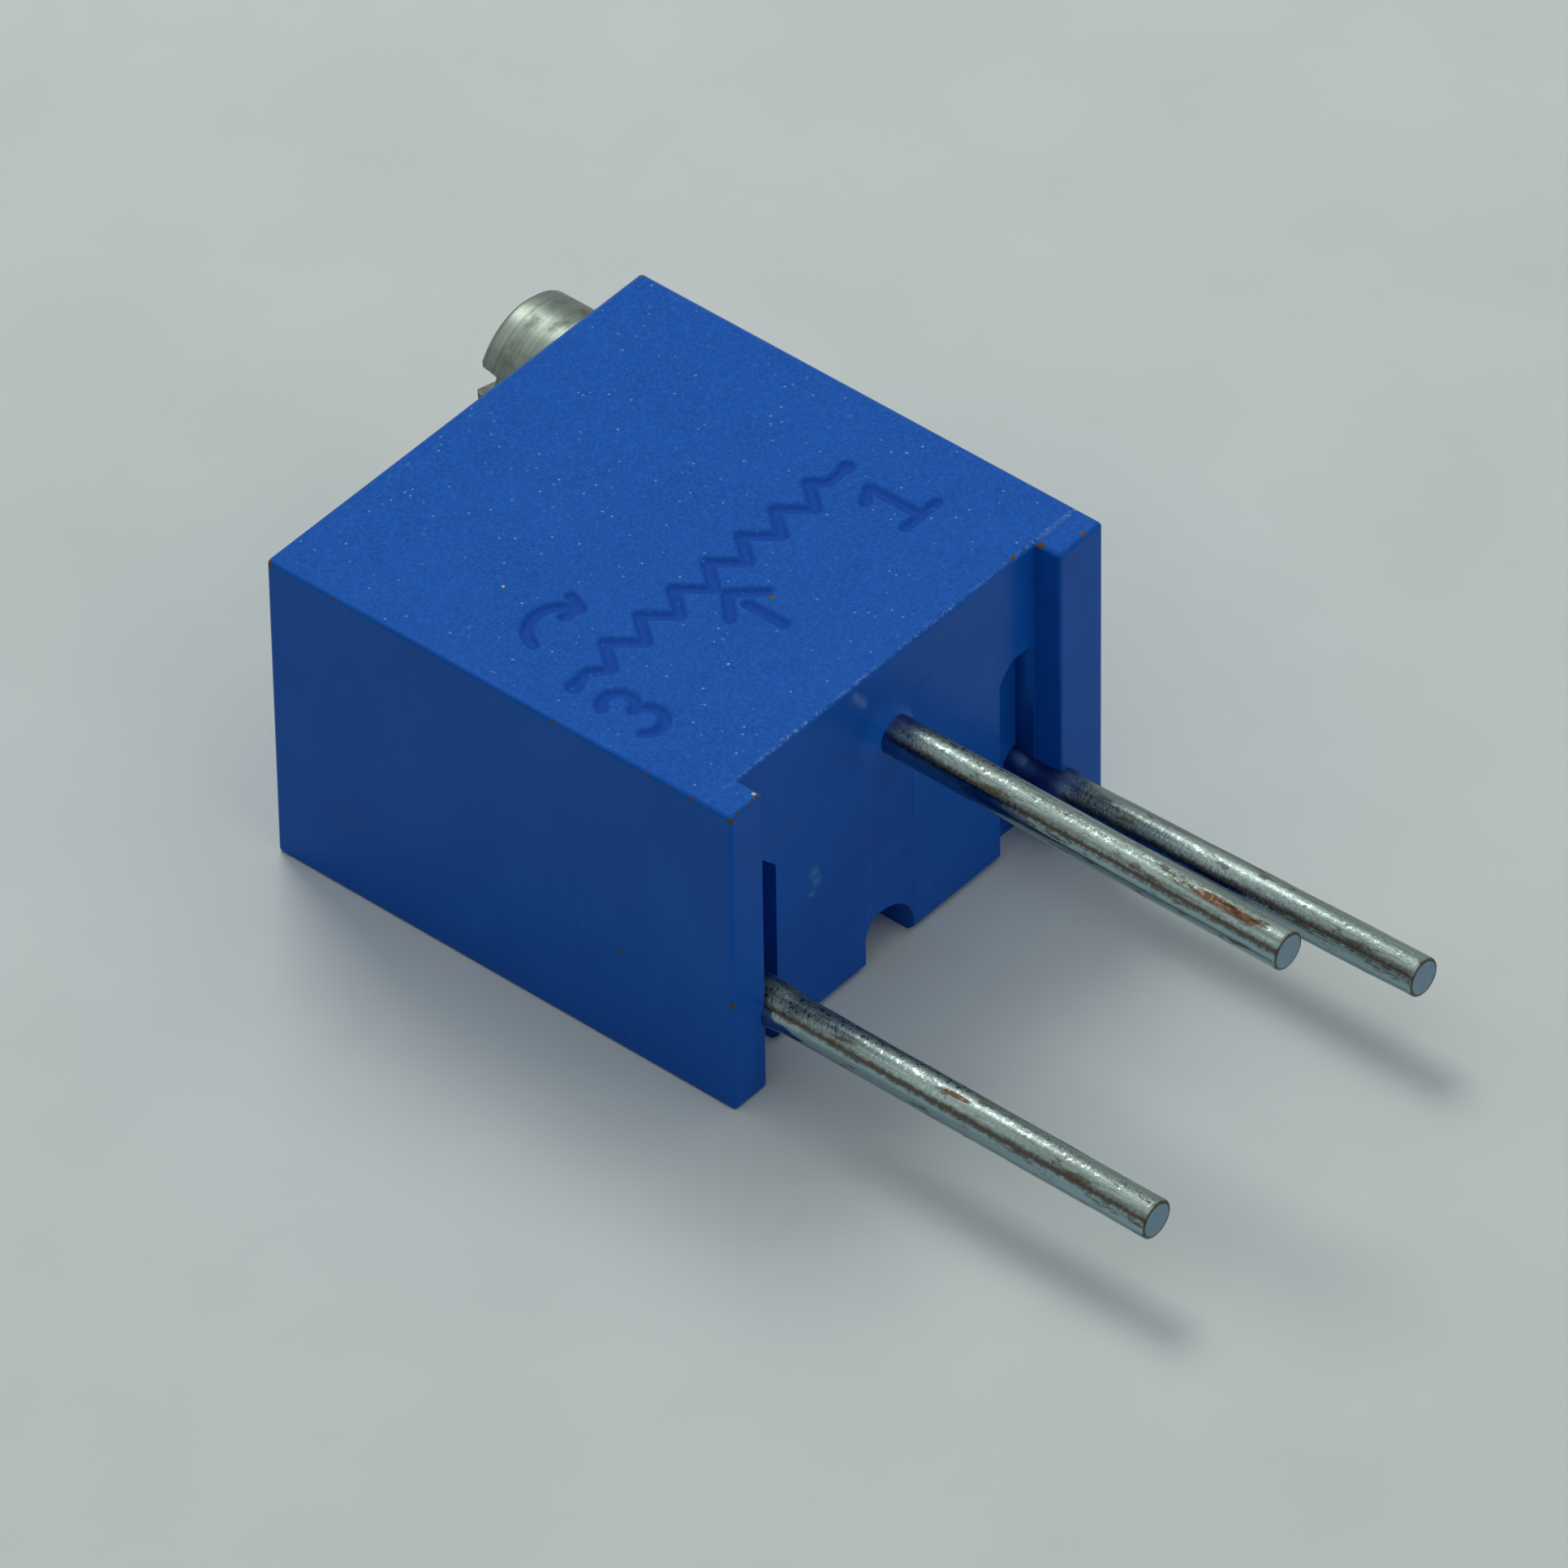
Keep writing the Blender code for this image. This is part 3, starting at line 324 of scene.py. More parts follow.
# %% Cast epoxy
cast_epoxy, tree, shader, place = start_material(
    "epoxy_cast_blue", Roughness=0.28, IOR=1.55, Specular_IOR_Level=0.08, Coat_Weight=0.02, Coat_Roughness=0.12
)
swirl = add(tree, "TexNoise", {"Vector": place, "Scale": per(0.8), "Detail": 4.0, "Distortion": 0.6})
swirled = add(tree, "MapRange", {"Value": swirl.outputs["Fac"], "From Min": 0.3, "From Max": 0.7})
# Bubbles about 0.1 mm across, in fewer than one in five of the cells of a 0.32 mm pattern.
bubbles = add(tree, "TexVoronoi", {"Vector": place, "Scale": per(0.32), "Randomness": 1.0})
bubble_near = add(tree, "MapRange", {
    "Value": bubbles.outputs["Distance"], "From Min": 0.20, "From Max": 0.12, "To Max": 0.35,
})
bubble_draw = add(tree, "SeparateColor", {0: bubbles.outputs["Color"]})
bubble_some = add(tree, "Math", {0: bubble_draw.outputs[0], 1: 0.82}, operation="GREATER_THAN")
bubbly = add(tree, "Math", {0: bubble_near.outputs[0], 1: bubble_some.outputs[0]}, operation="MULTIPLY")
colour = linear("#0A50AA")
for mask, coat in (
    (swirled.outputs[0], "#0F58B4"), (bubbly.outputs[0], "#0E2C63"), (add_resin_ring(tree, place), "#1A68CC"),
):
    mixed = add(tree, "Mix", {0: mask, MIX_A: colour, MIX_B: linear(coat)}, data_type="RGBA")
    colour = mixed.outputs[MIX_COLOUR]
skin = add(tree, "Bump", {"Height": swirl.outputs["Fac"], "Distance": 0.02 * MM, "Strength": 0.5})
tree.links.new(colour, shader.inputs["Base Color"])
tree.links.new(skin.outputs[0], shader.inputs["Normal"])
print("resin:", cast_epoxy.name, "with", len(tree.nodes), "nodes")

# %% [markdown]
# ## The tinned wire
# The pins are drawn copper wire, dipped in tin. Drawing leaves lengthwise lines, the dip leaves a lumpy skin, and the
# bath ran off to one flank, where it is smooth; its paler, bluer colour there is a painted reflection of the pale
# floor.
# Along the edge of that flank runs a dark brown line, a painted reflection of the dark horizon. A pattern in straight
# space would cut across the wire at its bends, so each wire carries an attribute, pulled_straight: where a point would
# be if its wire were straight, with its centre line on Y. All metals here keep the default IOR, because a metal's
# colour is its reflectance.

# %% Tin: drawn lines, grains and two skins
tinned_wire, tree, shader, place = start_material("copper_wire_hot_tinned", Metallic=1.0)
straight = add(tree, "Attribute", attribute_name="pulled_straight").outputs["Vector"]
# Drawing lines are a few microns wide; they are drawn 0.06 mm wide, and fifty times as long.
line_place = add(tree, "Mapping", {"Vector": straight, "Scale": (1.0, 0.02, 1.0)}).outputs[0]
lines = add(tree, "TexNoise", {"Vector": line_place, "Scale": per(0.06), "Detail": 3.0, "Roughness": 0.6})
drawn = add(tree, "MapRange", {"Value": lines.outputs["Fac"], "From Min": 0.34, "From Max": 0.66})
# The tin's skin is dull grains with bright ones between, some 0.045 mm across.
grains = add(tree, "TexNoise", {"Vector": straight, "Scale": per(0.045), "Detail": 2.0, "Roughness": 0.55})
grainy = add(tree, "MapRange", {"Value": grains.outputs["Fac"], "From Min": 0.40, "From Max": 0.64, "To Max": 0.22})
# side_way is -1 on the smooth flank, facing down and towards -X on a level run, and +1 opposite; it wavers along the
# wire.
flank = [part / (0.255 * MM) for part in (0.764, 0.0, 0.645)]
flank_way = add(tree, "VectorMath", {0: straight, 1: flank}, operation="DOT_PRODUCT")
waver = add(tree, "TexNoise", {"Vector": line_place, "Scale": per(0.5), "Detail": 4.0, "Roughness": 0.75})
side_way = add(tree, "Math", {
    0: waver.outputs["Fac"], 1: 0.36, 2: flank_way.outputs["Value"],
}, operation="MULTIPLY_ADD").outputs[0]
# Painted reflection: the smooth flank is paler and bluer, as where it would mirror the pale floor.
smooth_flank_and_painted_reflection = add(tree, "MapRange", {"Value": side_way, "From Min": -0.09, "From Max": -0.21})
# Painted reflection: a dark brown line along the edge of that flank stands for the dark horizon mirrored in the wire.
off_line = add(tree, "Math", {0: side_way, 1: 0.13}, operation="ADD")
off_line = add(tree, "Math", {0: off_line.outputs[0]}, operation="ABSOLUTE")
ragged = add(tree, "TexNoise", {"Vector": straight, "Scale": per(0.07), "Detail": 5.0, "Roughness": 0.7})
off_line = add(tree, "Math", {0: ragged.outputs["Fac"], 1: 0.42, 2: off_line.outputs[0]}, operation="MULTIPLY_ADD")
painted_horizon_line = add(tree, "MapRange", {"Value": off_line.outputs[0], "From Min": 0.42, "From Max": 0.28, "To Max": 0.88})
# Flux stains: few, long and dark.
stain_place = add(tree, "Mapping", {"Vector": straight, "Scale": (1.0, 0.25, 1.0)})
stains = add(tree, "TexNoise", {"Vector": stain_place.outputs[0], "Scale": per(0.11), "Detail": 5.0, "Roughness": 0.65})
stained = add(tree, "MapRange", {"Value": stains.outputs["Fac"], "From Min": 0.56, "From Max": 0.64, "To Max": 0.75})
print("wire finish:", tinned_wire.name)

# %% Bare copper, resin film and cut ends
# Two bare places, drawn out along the wires: for them the coordinates are squeezed along Y.
squeeze = 0.13
bare_spots = [((-0.07, -8.30 * squeeze, 3.57), 0.075), ((-2.60, -6.41 * squeeze, 1.365), 0.035)]
squeezed = add(tree, "Mapping", {"Vector": place, "Scale": (1.0, squeeze, 1.0)})
bare = add_specks(tree, squeezed.outputs[0], bare_spots, softness=0.25)
bare_part = add(tree, "Math", {0: bare, 1: 0.8}, operation="MULTIPLY")
# Resin crept along the wires and left a thin blue film on the first stretch outside, longest on pin 1.
film_full = 0.80
axes = add(tree, "SeparateXYZ", {0: place})
on_pin_1 = {"Value": axes.outputs["X"], "From Min": 1.2 * MM, "From Max": 1.6 * MM}
further = add(tree, "MapRange", {**on_pin_1, "To Max": 0.48 * MM})
creep_reach = add(tree, "Math", {0: axes.outputs["Y"], 1: further.outputs[0]}, operation="ADD")
creep_noise = add(tree, "TexNoise", {"Vector": straight, "Scale": per(0.35), "Detail": 2.0})
creep_end = add(tree, "Math", {
    0: creep_noise.outputs["Fac"], 1: 1.1 * MM, 2: creep_reach.outputs[0],
}, operation="MULTIPLY_ADD")
film = add(tree, "MapRange", {
    "Value": creep_end.outputs[0], "From Min": -3.08 * MM, "From Max": -2.68 * MM, "To Max": film_full,
})
# The blade left a flat grey face at each end, with a browned rim: both are told by how far a point is from the middle.
across_wire = add(tree, "VectorMath", {0: straight, 1: (1.0, 0.0, 1.0)}, operation="MULTIPLY")
off_centre = add(tree, "VectorMath", {0: across_wire.outputs[0]}, operation="LENGTH").outputs["Value"]
cut_rim = add(tree, "MapRange", {"Value": off_centre, "From Min": 0.247 * MM, "From Max": 0.238 * MM, "To Max": 0.85})
cut_face = add(tree, "MapRange", {"Value": off_centre, "From Min": 0.216 * MM, "From Max": 0.200 * MM})
colour = linear("#576361")
# In this list the flank's pale blue and the dark brown line are painted reflections of the floor and of the dark
# horizon.
for mask, coat in (
    (drawn, "#849491"), (grainy, "#56564D"), (smooth_flank_and_painted_reflection, "#92A8AE"), (painted_horizon_line, "#41372E"), (stained, "#4A4238"),
    (bare_part, "#5E3D2A"), (film, "#34609A"), (cut_rim, "#4A4238"), (cut_face, "#7C93A2"),
):
    mixed = add(tree, "Mix", {0: mask.outputs[0], MIX_A: colour, MIX_B: linear(coat)}, data_type="RGBA")
    colour = mixed.outputs[MIX_COLOUR]
tree.links.new(colour, shader.inputs["Base Color"])
print("bare places:", len(bare_spots))

# %% Gloss and relief of the wire
# Smooth grains glitter among dull ones, least on pin 1, where the bath left no very smooth ones.
smoothest = add(tree, "MapRange", {**on_pin_1, "To Min": 0.19, "To Max": 0.30})
grain_gloss = add(tree, "MapRange", {
    "Value": grains.outputs["Fac"], "From Min": 0.39, "From Max": 0.45, "To Min": smoothest.outputs[0], "To Max": 0.44,
})
roughness = add(tree, "MapRange", {"Value": smooth_flank_and_painted_reflection.outputs[0], "To Min": grain_gloss.outputs[0], "To Max": 0.10})
# Stains and bare copper are duller. The film evens out the gloss and buries the grains. The cut faces are dull.
for mask, more in ((stained.outputs[0], 0.3), (bare, 0.25)):
    roughness = add(tree, "Math", {0: mask, 1: more, 2: roughness.outputs[0]}, operation="MULTIPLY_ADD")
under_film = {"Value": film.outputs[0], "From Max": film_full}
roughness = add(tree, "MapRange", {**under_film, "To Min": roughness.outputs[0], "To Max": 0.30})
roughness = add(tree, "Math", {0: cut_face.outputs[0], 1: 0.25, 2: roughness.outputs[0]}, operation="MULTIPLY_ADD")
grain_height = add(tree, "MapRange", {"Value": smooth_flank_and_painted_reflection.outputs[0], "To Min": 0.85, "To Max": 0.10})
grain_height = add(tree, "MapRange", {**under_film, "To Min": grain_height.outputs[0], "To Max": 0.05})
wire_bump = add(tree, "Bump", {
    "Height": grains.outputs["Fac"], "Distance": 0.007 * MM, "Strength": grain_height.outputs[0],
})
tree.links.new(roughness.outputs[0], shader.inputs["Roughness"])
tree.links.new(wire_bump.outputs[0], shader.inputs["Normal"])
print("wire finish:", len(tree.nodes), "nodes")

# %% [markdown]
# ## The turned and plated screw
# The screw is brass, turned and nickel-plated, and it has dulled. Its lines run round its axis, so the pattern is
# drawn on two numbers only, the distance from the axis and the place along it: such a noise makes rings by itself,
# on the end face and round the side alike, and nothing has to be wrapped.

# %% Turned and nickel-plated brass
turn_axis = frame["joints"][0]["pos_m"]
turned_brass, tree, shader, place = start_material("brass_turned_nickel_plated", Metallic=1.0)
on_axis = add(tree, "Mapping", {"Vector": place, "Location": (-turn_axis[0], 0.0, -turn_axis[2])})
axes = add(tree, "SeparateXYZ", {0: on_axis.outputs[0]})
flat_place = add(tree, "CombineXYZ", {0: axes.outputs["X"], 2: axes.outputs["Z"]})
from_axis = add(tree, "VectorMath", {0: flat_place.outputs[0]}, operation="LENGTH")
# Feed marks of the lathe are about 0.02 mm apart; they are drawn 0.05 mm apart.
ring_place = add(tree, "CombineXYZ", {0: from_axis.outputs["Value"], 1: axes.outputs["Y"]})
rings = add(tree, "TexNoise", {"Vector": ring_place.outputs[0], "Scale": per(0.05), "Detail": 2.0})
ringed = add(tree, "MapRange", {"Value": rings.outputs["Fac"], "From Min": 0.35, "From Max": 0.65})
tarnish = add(tree, "TexNoise", {"Vector": place, "Scale": per(0.35), "Detail": 5.0, "Roughness": 0.6})
tarnished = add(tree, "MapRange", {"Value": tarnish.outputs["Fac"], "From Min": 0.50, "From Max": 0.72, "To Max": 0.75})
colour = linear("#656E66")
for mask, coat in ((ringed, "#76807A"), (tarnished, "#474433")):
    mixed = add(tree, "Mix", {0: mask.outputs[0], MIX_A: colour, MIX_B: linear(coat)}, data_type="RGBA")
    colour = mixed.outputs[MIX_COLOUR]
roughness = add(tree, "MapRange", {
    "Value": tarnish.outputs["Fac"], "From Min": 0.4, "From Max": 0.7, "To Min": 0.38, "To Max": 0.55,
})
ring_bump = add(tree, "Bump", {"Height": rings.outputs["Fac"], "Distance": 0.006 * MM, "Strength": 0.4})
tree.links.new(colour, shader.inputs["Base Color"])
tree.links.new(roughness.outputs[0], shader.inputs["Roughness"])
tree.links.new(ring_bump.outputs[0], shader.inputs["Normal"])
print("screw finish:", turned_brass.name, "with", len(tree.nodes), "nodes")

# %% [markdown]
# ## Finishes of what is inside
# Nobody sees these until the part is opened, but each is what it would be on the bench. They differ in colour,
# gloss and the size of their grain, so one table and one loop make them all, where eight cells would say the same
# thing eight times.

# %% Inner finishes
# Each row: the darker and the lighter colour, the grain in mm, how much of a metal it is, the least and the
# greatest roughness, the relief in mm, and the grain's scale on X, Y and Z, where a small one draws it out.
even = (1, 1, 1)
inner_finishes = {
    # Solder cools with a bright skin that ripples a little.
    "solder_bright_lead_free": ("#9FA3A6", "#D9DCDE", 0.15, 1.0, (0.18, 0.35), 0.010, even),
    # Fired silver is a film of fine grain, grey-white and half dull.
    "silver_film_fired": ("#B4B1A8", "#E2DFD6", 0.04, 1.0, (0.38, 0.55), 0.004, even),
    # Ground alumina is a dull, even white.
    "alumina_ground": ("#D9D9D2", "#EFEFEA", 0.06, 0.0, (0.55, 0.70), 0.004, even),
    # The resistive film is glass with metal oxide, fired: matt and nearly black.
    "cermet_film_fired": ("#222325", "#3C3D40", 0.05, 0.0, (0.50, 0.68), 0.005, even),
    # Rolled spring steel has fine bright lines along the strip.
    "spring_steel_rolled": ("#8B9094", "#C3C8CB", 0.05, 1.0, (0.22, 0.38), 0.003, (0.05, 1, 1)),
    # Moulded rubber is black and dull.
    "nitrile_rubber_moulded": ("#121212", "#262626", 0.08, 0.0, (0.62, 0.80), 0.006, even),
    # Undyed nylon is milky, with a soft sheen.
    "nylon_moulded_natural": ("#DCD8CB", "#EEEBE1", 0.30, 0.0, (0.42, 0.55), 0.006, even),
    # The stamped contact alloy is warm and bright, with lines along the fingers.
    "contact_alloy_stamped": ("#B39D68", "#DCCB9A", 0.05, 1.0, (0.22, 0.36), 0.003, (1, 0.05, 1)),
}
inner_materials = {}
for name, (dark, light, grain_mm, metallic, rough, relief_mm, stretch) in inner_finishes.items():
    material, tree, shader, place = start_material(name, Metallic=metallic)
    grain_place = add(tree, "Mapping", {"Vector": place, "Scale": stretch})
    grain_size = {"Scale": per(grain_mm), "Detail": 4.0}
    grain = add(tree, "TexNoise", {"Vector": grain_place.outputs[0], **grain_size}).outputs["Fac"]
    over = {"Value": grain, "From Min": 0.35, "From Max": 0.65}
    spread = add(tree, "MapRange", over)
    mixed = add(tree, "Mix", {0: spread.outputs[0], MIX_A: linear(dark), MIX_B: linear(light)}, data_type="RGBA")
    gloss = add(tree, "MapRange", {**over, "To Min": rough[0], "To Max": rough[1]})
    relief = add(tree, "Bump", {"Height": grain, "Distance": relief_mm * MM, "Strength": 0.6})
    tree.links.new(mixed.outputs[MIX_COLOUR], shader.inputs["Base Color"])
    tree.links.new(gloss.outputs[0], shader.inputs["Roughness"])
    tree.links.new(relief.outputs[0], shader.inputs["Normal"])
    inner_materials[name] = material
print(len(inner_materials), "inner finishes")

# %% Give the inner CAD nodes their finishes
finish_of_node = {
    "solder_bright_lead_free": ["solder_1", "solder_2", "solder_3"],
    "silver_film_fired": [
        "back_pad_1", "back_pad_2", "back_pad_3", "via_1", "via_2", "via_3", "end_pad_1", "end_pad_3", "collector",
    ],
    "alumina_ground": ["substrate"],
    "cermet_film_fired": ["resistive_track"],
    "spring_steel_rolled": ["retaining_clip"],
    "nitrile_rubber_moulded": ["o_ring"],
    "nylon_moulded_natural": ["rotor_gear"],
    "contact_alloy_stamped": ["wiper"],
}
for finish, names in finish_of_node.items():
    for name in names:
        for slot in frame["nodes"][name].material_slots:
            slot.material = inner_materials[finish]
print("dressed", sum(len(names) for names in finish_of_node.values()), "inner nodes")

# %% [markdown]
# ## Surfaces from grids
# Every new piece is a grid of points worked out as whole arrays: row by row, corner by corner. A grid may close
# on itself, as a tube does. Where two grids meet, their doubled points are merged, and then each closed shell has
# its faces turned outward. Blender gets the numbers in one go, which is quick and keeps them exact.

# %% Grids to meshes
def grid_quads(rows, columns, wrap):
    """Four corners per face: point (i, j) is number i * columns + j, and with wrap the last column meets the first."""
    i, j = np.meshgrid(np.arange(rows - 1), np.arange(columns if wrap else columns - 1), indexing="ij")
    k = (j + 1) % columns
    corners = (i * columns + j, i * columns + k, (i + 1) * columns + k, (i + 1) * columns + j)
    return np.stack(corners, -1).reshape(-1, 4)


def mesh_of(name, grids):
    """One mesh from grids given as (points, wrap): points has the shape rows, columns, 3."""
    points, quads, first = [], [], 0
    for grid, wrap in grids:
        rows, columns = grid.shape[:2]
        points.append(grid.reshape(-1, 3))
        quads.append(grid_quads(rows, columns, wrap) + first)
        first += rows * columns
    points = np.concatenate(points).astype(np.float32)
    quads = np.concatenate(quads).astype(np.int32)
    mesh = bpy.data.meshes.new(name)
    mesh.vertices.add(len(points))
    mesh.vertices.foreach_set("co", points.ravel())
    mesh.loops.add(quads.size)
    mesh.loops.foreach_set("vertex_index", quads.ravel())
    mesh.polygons.add(len(quads))
    mesh.polygons.foreach_set("loop_start", np.arange(len(quads), dtype=np.int32) * 4)
    mesh.update(calc_edges=True)
    return mesh


# %% Closed shells and finished pieces
def close_shells(mesh, weld=1e-4 * MM):
    """Merges doubled points and faces every closed shell outward."""
    shape = bmesh.new()
    shape.from_mesh(mesh)
    bmesh.ops.remove_doubles(shape, verts=shape.verts, dist=weld)
    bmesh.ops.recalc_face_normals(shape, faces=shape.faces)
    open_edges = sum(1 for edge in shape.edges if not edge.is_manifold)
    shape.to_mesh(mesh)
    shape.free()
    return open_edges


def part_the_skins(mesh):
    """Edges between two finishes are made sharp, so that a flat skin's shading stays flat up to its rim."""
    shape = bmesh.new()
    shape.from_mesh(mesh)
    for edge in shape.edges:
        if len({face.material_index for face in edge.link_faces}) > 1:
            edge.smooth = False
    shape.to_mesh(mesh)
    shape.free()


def show(name, mesh, materials, body, smooth_under=32):
    """Puts a finished mesh in the scene at the origin, smooth where faces meet at less than the angle in degrees."""
    piece = bpy.data.objects.new(name, mesh)
    bpy.context.scene.collection.objects.link(piece)
    for material in materials:
        mesh.materials.append(material)
    mesh.polygons.foreach_set("use_smooth", np.ones(len(mesh.polygons), dtype=bool))
    mesh.set_sharp_from_angle(angle=math.radians(smooth_under))
    part_the_skins(mesh)
    flatten = piece.modifiers.new("flat_faces_stay_flat", "WEIGHTED_NORMAL")
    flatten.keep_sharp = True
    flatten.weight = 85
    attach(piece, body)
    low, high = np.array(piece.bound_box).min(0) / MM, np.array(piece.bound_box).max(0) / MM
    print(name, len(mesh.polygons), "faces, box in mm", np.round(low, 2).tolist(), np.round(high, 2).tolist())
    return piece


def smooth_step(value, low, high):
    """0 below low and 1 above high, with the soft curve 3t squared less 2t cubed between."""
    t = np.clip((value - low) / (high - low), 0, 1)
    return t * t * (3 - 2 * t)


# %% [markdown]
# ## Marks in the moulded face
# The tool has raised strokes, so the face comes out with shallow grooves: a resistor's zigzag between two dots,
# the wiper's arrow, the numbers of the outer pins, and a curved arrow for the way that the screw is turned. As
# real relief they catch light and shade from every side. Each groove is a line of points with a width, and the
# depth at a place follows from how far that place is from the nearest line.

# %% Strokes of the marks, in mm on the marked face
def bow(middle, radius, start, end, count=14):
    """Points on a circle about middle, from one angle to another, in degrees."""
    angle = np.radians(np.linspace(start, end, count))
    return np.stack([middle[0] + radius * np.cos(angle), middle[1] + radius * np.sin(angle)], -1)


zigzag_pitch = 0.598
zigzag_peaks = 7
zigzag_first_peak = -1.90
zigzag_high = -0.61
zigzag_low = -0.98
zigzag_middle = (zigzag_high + zigzag_low) / 2
peak_x = zigzag_first_peak + zigzag_pitch * np.arange(zigzag_peaks)
dot_left = (-2.70, -0.84)
dot_right = (2.18, -0.78)
peaks = np.stack([peak_x, np.full(zigzag_peaks, zigzag_high)], -1)
valleys = np.stack([peak_x + zigzag_pitch / 2, np.full(zigzag_peaks, zigzag_low)], -1)
up_and_down = np.stack([peaks, valleys], 1).reshape(-1, 2)[:-1]
zigzag = np.concatenate([
    [dot_left, (-2.42, zigzag_middle), (peak_x[0] - zigzag_pitch / 2, zigzag_low)],
    up_and_down,
    [(peak_x[-1] + 0.16, zigzag_middle), dot_right],
])
arrow_tip = (-0.365, -1.13)
arrow = [
    np.array([(-0.69, -1.46), arrow_tip, (-0.06, -1.47)]),
    np.array([(-0.36, -1.44), (-0.36, -1.99)]),
]
one = [
    np.array([(1.84, -1.34), (2.07, -1.22), (2.08, -1.98)]),
    np.array([(1.80, -1.98), (2.37, -1.98)]),
]
three = [
    np.concatenate([bow((-2.62, -1.43), 0.20, 150, -80), bow((-2.62, -1.84), 0.225, 80, -145)]),
]
turn_arrow = [
    bow((-2.05, -0.12), 0.42, 165, 15),
    np.array([(-1.86, 0.03), (-1.635, -0.02), (-1.55, 0.20)]),
]
print("marks:", len(zigzag), "points in the zigzag")


# %% Depth of the grooves
def distance_to(strokes, x, y):
    """From each place to the nearest stroke: along each straight run, the foot of the place is held within its ends."""
    nearest = np.full(x.shape, np.inf)
    for stroke in strokes:
        for start, end in zip(stroke[:-1], stroke[1:]):
            run = end - start
            along = np.clip(((x - start[0]) * run[0] + (y - start[1]) * run[1]) / (run @ run), 0, 1)
            nearest = np.minimum(nearest, np.hypot(x - start[0] - along * run[0], y - start[1] - along * run[1]))
    return nearest


groove_depth = 0.055
groove_half_width = 0.070
groove_slope = 0.085
dot_radius = 0.105


def engraving(x, y):
    """Depth in mm: full in a stroke, zero outside, and a soft wall between; the two dots are round strokes."""
    lines = distance_to([zigzag, *arrow, *one, *three, *turn_arrow], x, y) - groove_half_width
    dots = [np.hypot(x - dot[0], y - dot[1]) - dot_radius for dot in (dot_left, dot_right)]
    outside = np.minimum(lines, np.minimum(*dots))
    return groove_depth * (1 - smooth_step(outside, -groove_slope / 2, groove_slope / 2))


print("depth at the arrow's tip in mm:", round(float(engraving(*np.array(arrow_tip))), 3))

# %% [markdown]
# ## The housing
# The CAD housing is right nearly all over, so a merged copy of it keeps every wall, rib, pocket and bore, and only
# the marked face is cut away and filled with the engraved grid. A Boolean of raised strokes would do it too, but
# leaves long thin faces that shade badly. The ring between the grid and the face's outline is filled by Blender's
# own triangle fill, flat, so that nothing shows there. The mouth of pin 1's hole is then centred on the wire.

# %% Swap a flat face for a relief
def merged_copy(node):
    """A CAD node's mesh is loose triangles; this copy of it has its doubled points merged and its flat faces whole,
    so that a large flat face outweighs its narrow rounded edges when normals are weighed by area."""
    shape = bmesh.new()
    shape.from_mesh(frame["nodes"][node].data)
    bmesh.ops.remove_doubles(shape, verts=shape.verts, dist=1e-4 * MM)
    bmesh.ops.dissolve_limit(shape, angle_limit=math.radians(0.5), verts=shape.verts, edges=shape.edges)
    return shape


def relief_on(node, level, upward, across, along, height):
    """Removes a copy's flat face at z = level, and fills its outline with a grid whose points are raised by
    height(x, y), in mm; the grid's border stays in the plane. Returns the mesh and its count of open edges."""
    shape = merged_copy(node)
    facing = 1 if upward else -1
    gone = [
        face for face in shape.faces
        if face.normal.z * facing > 0.999 and abs(face.calc_center_median().z - level) < 1e-3 * MM
    ]
    bmesh.ops.delete(shape, geom=gone, context="FACES")
    x, y = np.meshgrid(across, along)
    grid = np.stack([x * MM, y * MM, level + height(x, y) * MM], -1)
    if not upward:
        grid = grid[::-1]
    patch = mesh_of("patch", [(grid, False)])
    patch.polygons.foreach_set("material_index", np.ones(len(patch.polygons), dtype=np.int32))
    shape.from_mesh(patch)
    bpy.data.meshes.remove(patch)
    rim = [edge for edge in shape.edges if edge.is_boundary]
    filled = bmesh.ops.triangle_fill(shape, edges=rim, use_beauty=True, normal=(0, 0, facing))
    for face in (item for item in filled["geom"] if isinstance(item, bmesh.types.BMFace)):
        face.material_index = 1
        if face.normal.z * facing < 0:
            face.normal_flip()
    inner = [edge for edge in filled["geom"] if isinstance(edge, bmesh.types.BMEdge) and edge not in set(rim)]
    bmesh.ops.dissolve_limit(shape, angle_limit=math.radians(0.5), edges=inner, verts=[])
    open_edges = sum(1 for edge in shape.edges if not edge.is_manifold)
    shape.normal_update()
    mesh = bpy.data.meshes.new(node + "_finished")
    shape.to_mesh(mesh)
    shape.free()
    return mesh, open_edges


# %% Grid of the marked face
housing_low, housing_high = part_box("housing")
fine_step = 0.021
patch_side = 3.02
patch_front = -3.05
patch_back = 3.05
marks_back = 0.42
across = np.linspace(-patch_side, patch_side, round(2 * patch_side / fine_step) + 1)
fine_rows = np.linspace(patch_front, marks_back, round((marks_back - patch_front) / fine_step) + 1)
coarse_rows = np.linspace(marks_back, patch_back, 12)[1:]
along = np.concatenate([fine_rows, coarse_rows])
print("grid of the marked face:", len(across), "by", len(along), "points")


def marked_face(x, y):
    """The engraving, and a sink mark so slight that only a reflection shows it; both die away at the border. The
    sink is a bell curve about its middle, 0.010 mm deep."""
    inside = smooth_step(patch_side - np.abs(x), 0, 0.1)
    inside = inside * smooth_step(y - patch_front, 0, 0.1) * smooth_step(patch_back - y, 0, 0.1)
    sink = 0.010 * np.exp(-((x + 0.4) ** 2 + (y - 0.1) ** 2) / 4)
    return -(engraving(x, y) + sink) * inside


# %% Mouth of pin 1's hole
hole_1_x = 2.54
hole_1_corner_z = 0.88
hole_1_rise = 0.278
wire_1_rise = 0.0365
mouth_reach = 0.31


